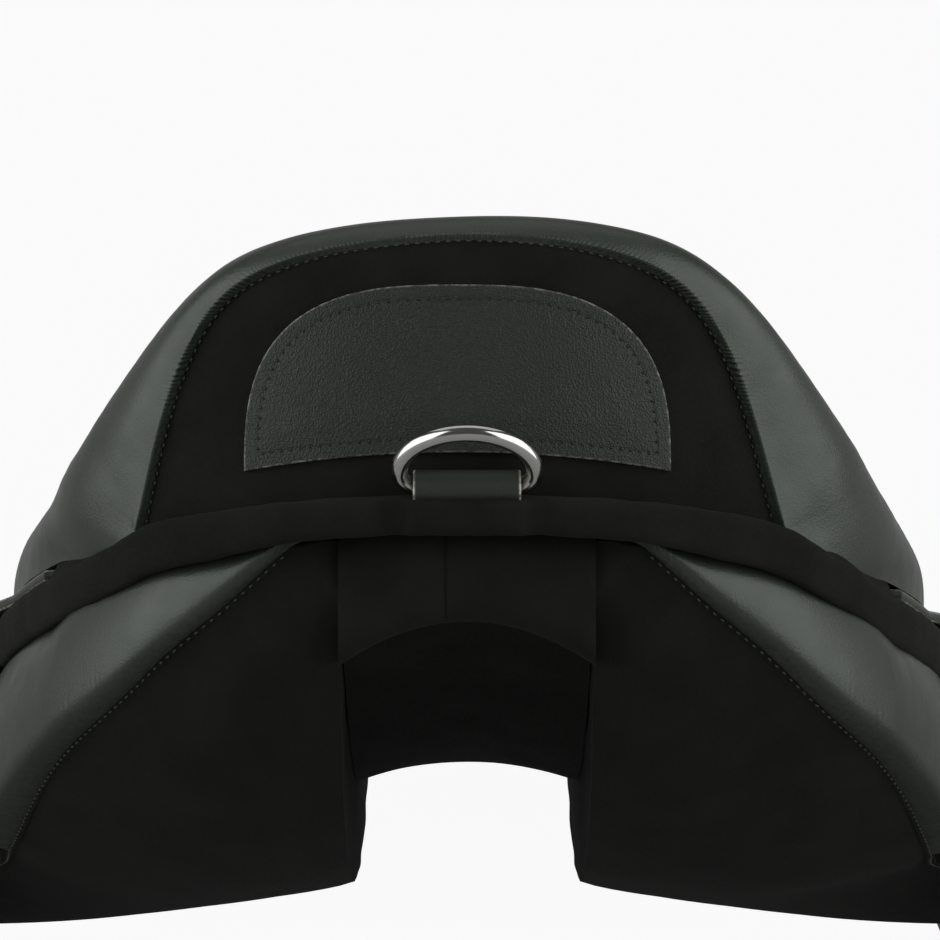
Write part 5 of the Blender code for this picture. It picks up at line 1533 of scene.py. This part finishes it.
def block(side, word, kind, ends, middle, half_width, thickness):
    """Padded block on the sweat flap, thickest in its middle."""
    top, low = ends
    turn = np.linspace(0, math.pi, 25)
    sections = []
    for part in 0.5 - 0.5 * np.cos(np.linspace(0.09, math.pi - 0.09, 48)):
        z = top + (low - top) * part
        size = math.sin(math.pi * part) ** 0.45
        centre = middle + (float(flap_front(z)) - 0.214 if kind == "knee" else 0.0)
        y = centre + half_width * size * np.cos(turn)
        lift = thickness * size * np.sin(turn) ** 0.85
        x = side_x(y, np.full_like(y, z)) + SWEAT_FLAP_THICKNESS + 2 * GAP + lift
        sections.append(np.stack([x, y, np.full_like(y, z)], axis=1))
    sections = np.array(sections)
    sections[:, 1:-1, 0] += 0.0003 * ripple(sections[:, 1:-1], 0.02, 12)
    piece = tube(f"{kind}_pad_{word}", flip(sections, side), PANEL_LEATHER, nodes=(f"{kind}_block_{word}",))


def girth_strap(side, word, number):
    """Buckle strap with punched holes, hanging under the flap."""
    middle = STRAP_MIDDLE_Y + (number - 2) * STRAP_PITCH
    top = float(edge_at(middle)[1]) - STRAP_BELOW_EDGE
    across = rim_shares(12, STRAP_WIDTH, STRAP_THICKNESS) * 2 - 1
    fall = STRAP_BOTTOM_Z - top
    z = top + fall * rim_shares(110, -fall, STRAP_THICKNESS)
    taper = 1 - 0.55 * smooth((STRAP_BOTTOM_Z + STRAP_TIP - z) / STRAP_TIP) ** 1.5
    y = middle + STRAP_WIDTH / 2 * across[None, :] * taper[:, None]
    level = np.broadcast_to(z[:, None], y.shape)
    x = side_x(y, level) + STRAP_STAND_OFF + STRAP_THICKNESS / 2
    grid = oriented(np.stack([x, y, level], axis=2), side)
    relief = groove(rim_distance(grid), STRAP_CREASE, width=0.0005, depth=0.0003)
    name = f"girth_leather_{word}_{number}"
    place = dict(nodes=(f"girth_strap_{word}_{number}",))
    piece, _ = round_sheet(name, grid, STRAP_THICKNESS, STRAP_LEATHER, relief, **place)
    holes = []
    for hole in range(STRAP_HOLES):
        z = STRAP_BOTTOM_Z + STRAP_FIRST_HOLE + hole * STRAP_HOLE_PITCH
        holes.append((side * (float(side_x(middle, z)) + STRAP_STAND_OFF), middle, z))
    cut_out(piece, hole_punch(holes))


def hole_punch(holes):
    """Mesh of round pins that run across the saddle through the places of the holes."""
    circle = spokes(np.array((0, 1.0, 0)), np.array((0, 0, 1.0)), 24) * STRAP_HOLE_DIAMETER / 2
    work = bmesh.new()
    for hole in holes:
        pin = [np.add(hole, (end, 0, 0)) + circle for end in (-0.01, 0.01)]
        corners = [work.verts.new(tuple(point)) for point in np.concatenate(pin)]
        for face in ring_faces(2, len(circle)):
            work.faces.new([corners[i] for i in face])
    bmesh.ops.recalc_face_normals(work, faces=work.faces)
    punch = bpy.data.meshes.new("punch")
    work.to_mesh(punch)
    work.free()
    return punch


def cut_out(piece, punch):
    """Cut a closed mesh out of a piece and keep the result as its own mesh."""
    tool = bpy.data.objects.new("punch", punch)
    bpy.context.scene.collection.objects.link(tool)
    modifier = piece.modifiers.new("punch", "BOOLEAN")
    modifier.operation = "DIFFERENCE"
    modifier.solver = "EXACT"
    modifier.object = tool
    bpy.context.view_layer.update()
    made = bpy.data.meshes.new_from_object(piece.evaluated_get(bpy.context.evaluated_depsgraph_get()))
    piece.modifiers.clear()
    piece.data = made
    bpy.data.objects.remove(tool, do_unlink=True)


# Metalwork and its leather loops


def dee_path(width, height):
    """D outline about the middle of its bar: (across, up) points."""
    half, corner = width / 2, 0.16 * width
    arch = np.linspace(0, math.pi, 90)
    turn = np.linspace(0, math.pi / 2, 18)
    bar = np.linspace(-half + corner, half - corner, 16)[1:-1]
    pieces = [
        np.stack([half * np.cos(arch), corner + (height - corner) * np.sin(arch)], axis=1),
        np.stack([-half + corner - corner * np.cos(turn), corner - corner * np.sin(turn)], axis=1)[1:],
        np.stack([bar, 0 * bar], axis=1),
        np.stack([half - corner + corner * np.sin(turn), corner - corner * np.cos(turn)], axis=1)[:-1],
    ]
    return np.concatenate(pieces)


def ring(name, path, wire, across, **place):
    """Round wire bent along a closed flat path; across is square to the path's plane."""
    path, across = np.asarray(path), np.asarray(across)
    run = unit(np.roll(path, -1, axis=0) - np.roll(path, 1, axis=0))
    side = np.cross(across, run)
    circle = spokes(side, across, 24)
    return tube(name, path[:, None] + circle * wire / 2, CHROME, closed=True, slot="chrome", **place)


def loop(name, centre, tail, wire, thickness, width, place, along_bar, out, **where):
    """Strip of leather folded round a bar: its cut ends show at both sides."""
    centre, tail = np.asarray(centre, float), np.asarray(tail, float)
    fall = unit(tail - centre)
    across = np.array((-fall[1], fall[0]))
    radius = wire / 2 + LOOP_SLACK + thickness / 2
    turn = np.radians(np.linspace(62, 298, 40))
    round_part = centre + radius * (np.cos(turn)[:, None] * fall + np.sin(turn)[:, None] * across)
    foot = tail + fall * 0.001
    start = np.linspace(foot + across * thickness * 0.52, round_part[0], 12)[:-1]
    end = np.linspace(round_part[-1], foot - across * thickness * 0.52, 12)[1:]
    path = np.concatenate([start, round_part, end])
    run = chord(path)
    path = interp_rows(path, run, run[-1] * rim_shares(70, run[-1], thickness))
    bar = (rim_shares(30, width, thickness) - 0.5) * width
    up = np.array((0, 0, 1.0))
    flat = place + path[:, :1] * np.asarray(out, float) + path[:, 1:] * up
    grid = flat[:, None] + bar[None, :, None] * np.asarray(along_bar, float)
    return round_sheet(name, grid, thickness, LOOP_LEATHER, raw=True, **where)


def cantle_dee():
    pivot = np.array((0, CANTLE_BACK_Y - DEE_OUT, BASE_REAR_Z + DEE_LIFT))
    rise = np.array((0, -math.sin(DEE_TILT), math.cos(DEE_TILT)))
    flat = np.array((0, math.cos(DEE_TILT), math.sin(DEE_TILT)))
    path = [pivot + np.array((1, 0, 0)) * x + rise * z for x, z in dee_path(DEE_WIDTH, DEE_HEIGHT)]
    ring("cantle_ring", path, DEE_WIRE, flat, body="cantle_dee", nodes=("cantle_dee",))
    place = np.array((0, CANTLE_BACK_Y, BASE_REAR_Z))
    strip = ((DEE_OUT, DEE_LIFT), CHAPE_TAIL, DEE_WIRE, CHAPE_THICKNESS, CHAPE_WIDTH)
    loop("cantle_loop", *strip, place, (1, 0, 0), (0, -1, 0), nodes=("cantle_dee_chape",))


def front_dee(side, word):
    at = np.atleast_1d(where_y(FRONT_DEE_Y))
    place, out = rail(BASE, at)[0], outward(at)[0]
    bar = np.cross((0, 0, 1), out)
    pivot = place + out * FRONT_DEE_OUT + (0, 0, FRONT_DEE_LIFT)
    fall = out * math.sin(FRONT_DEE_HANG) - np.array((0, 0, math.cos(FRONT_DEE_HANG)))
    flat = flip(np.cross(bar, fall), side) * side
    path = [pivot + bar * x + fall * z for x, z in dee_path(FRONT_DEE_WIDTH, FRONT_DEE_HEIGHT)]
    name = f"front_dee_{word}"
    ring(f"front_ring_{word}", flip(path, side), FRONT_DEE_WIRE, flat, body=name, nodes=(name,))
    centre = (FRONT_DEE_OUT, FRONT_DEE_LIFT)
    strip = (centre, FRONT_CHAPE_TAIL, FRONT_DEE_WIRE, FRONT_CHAPE_THICKNESS, FRONT_CHAPE_WIDTH)
    ways = (flip(way, side) for way in (place, bar, out))
    loop(f"front_loop_{word}", *strip, *ways, nodes=(f"front_dee_chape_{word}",))


def saddle_nail(side, word):
    """Domed head at the front of the skirt."""
    low, high = (np.array(v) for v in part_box(f"saddle_nail_{word}"))
    grid = SKIRT_ROWS
    place = flip((low + high) / 2, side)
    near = np.argmin(((grid - place) ** 2).sum(axis=2))
    square = outward_square(grid).reshape(-1, 3)[near]
    first = unit(np.cross(square, (0, 0, 1)))
    second = np.cross(square, first)
    radius = NAIL_DIAMETER / 2
    dome = np.linspace(0, math.pi / 2, 14)[:-1]
    stops = [(0.96, -0.30), (1.0, -0.27), (1.0, -0.17)]
    stops += [(0.98 * math.cos(a), -0.16 + 0.44 * math.sin(a)) for a in dome]
    circle = spokes(first, second, 40)
    sections = np.array([place + square * lift * radius + circle * size * radius for size, lift in stops])
    tube(f"nail_head_{word}", flip(sections, side), CHROME, nodes=(f"saddle_nail_{word}",), slot="chrome")


def tree_finishes():
    """Pieces of the tree keep their own solids and get their finishes."""
    looks = {"tree": BEECH, "tree_cantle": BEECH, "head_plate": SPRING_STEEL, "seat_web": WEBBING}
    for _, word in SIDES:
        looks[f"tree_spring_{word}"] = SPRING_STEEL
        looks[f"stirrup_bar_{word}"] = STEEL
        looks[f"bar_catch_{word}"] = STEEL
    for node, look in looks.items():
        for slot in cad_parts[node].material_slots:
            slot.material = look


# Camera, light and floor


TARGET = (0.0008, -0.237, 0.1213)
VIEW_DISTANCE = 1.203
VIEW_ELEVATION = math.radians(-2)
SENSOR = 36.0
FOCAL_PIXELS = 4456
FRAME_PIXELS = 940


def camera():
    lens = bpy.data.cameras.new("photo view")
    lens.sensor_width = SENSOR
    lens.lens = SENSOR * FOCAL_PIXELS / FRAME_PIXELS
    lens.clip_end = 50
    eye = bpy.data.objects.new("photo view", lens)
    x, y, z = TARGET
    away = VIEW_DISTANCE * math.cos(VIEW_ELEVATION)
    eye.location = (x, y - away, z + VIEW_DISTANCE * math.sin(VIEW_ELEVATION))
    eye.rotation_euler = (math.pi / 2 - VIEW_ELEVATION, 0, 0)
    bpy.context.scene.collection.objects.link(eye)
    bpy.context.scene.camera = eye


def softbox(name, place, size, power):
    """Large soft light turned to face the cantle."""
    lamp = bpy.data.lights.new(name, "AREA")
    lamp.shape = "RECTANGLE"
    lamp.size, lamp.size_y = size
    lamp.energy = power
    box = bpy.data.objects.new(name, lamp)
    box.location = place
    box.visible_camera = False
    way = Vector(TARGET) - Vector(place)
    box.rotation_euler = way.to_track_quat("-Z", "Y").to_euler()
    bpy.context.scene.collection.objects.link(box)


def studio():
    scene = bpy.context.scene
    scene.view_settings.view_transform = "Standard"
    world = bpy.data.worlds.new("pale studio")
    scene.world = world
    world.use_nodes = True
    nodes, links = world.node_tree.nodes, world.node_tree.links
    sky = nodes["Background"]
    paths = nodes.new("ShaderNodeLightPath")
    level = nodes.new("ShaderNodeMapRange")
    level.inputs["To Min"].default_value = 0.10
    level.inputs["To Max"].default_value = 0.965
    links.new(paths.outputs["Is Camera Ray"], level.inputs["Value"])
    links.new(level.outputs["Result"], sky.inputs["Strength"])
    sky.inputs["Color"].default_value = STUDIO_WHITE
    for side, word in SIDES:
        softbox(f"{word} light", (1.40 * side, -0.90, 0.50), (2.3, 1.9), 31.5)
        softbox(f"{word} fill", (1.75 * side, 1.0, 0.40), (1.5, 1.6), 2.2)
    softbox("back light", (0, 2.6, 0.9), (3.6, 2.6), 12)
    softbox("top light", (0, -0.05, 1.9), (2.0, 1.6), 7)
    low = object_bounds()[0][2] - 0.0005
    corners = [(x, y, low) for x, y in ((-12, -12), (12, -12), (12, 12), (-12, 12))]
    floor = bpy.data.meshes.new("floor")
    floor.from_pydata(corners, [], [(0, 1, 2, 3)])
    floor.materials.append(floor_look("pale floor"))
    ground = bpy.data.objects.new("floor", floor)
    scene.collection.objects.link(ground)


camera()
seat()
cantle_facing()
cantle_patch()
cantle_dee()
bindings()
panel_bridge()
gullet_lining()
FLAP_ROWS = flap_rows()
SKIRT_ROWS = skirt_rows()
SWEAT_ROWS = sweat_flap_rows()
for side, word in SIDES:
    panel(side, word)
    flap(side, word)
    skirt(side, word)
    sweat_flap(side, word)
    block(side, word, "knee", *KNEE_BLOCK)
    block(side, word, "thigh", *THIGH_BLOCK)
    for number in (1, 2, 3):
        girth_strap(side, word, number)
    saddle_nail(side, word)
    front_dee(side, word)
tree_finishes()
studio()
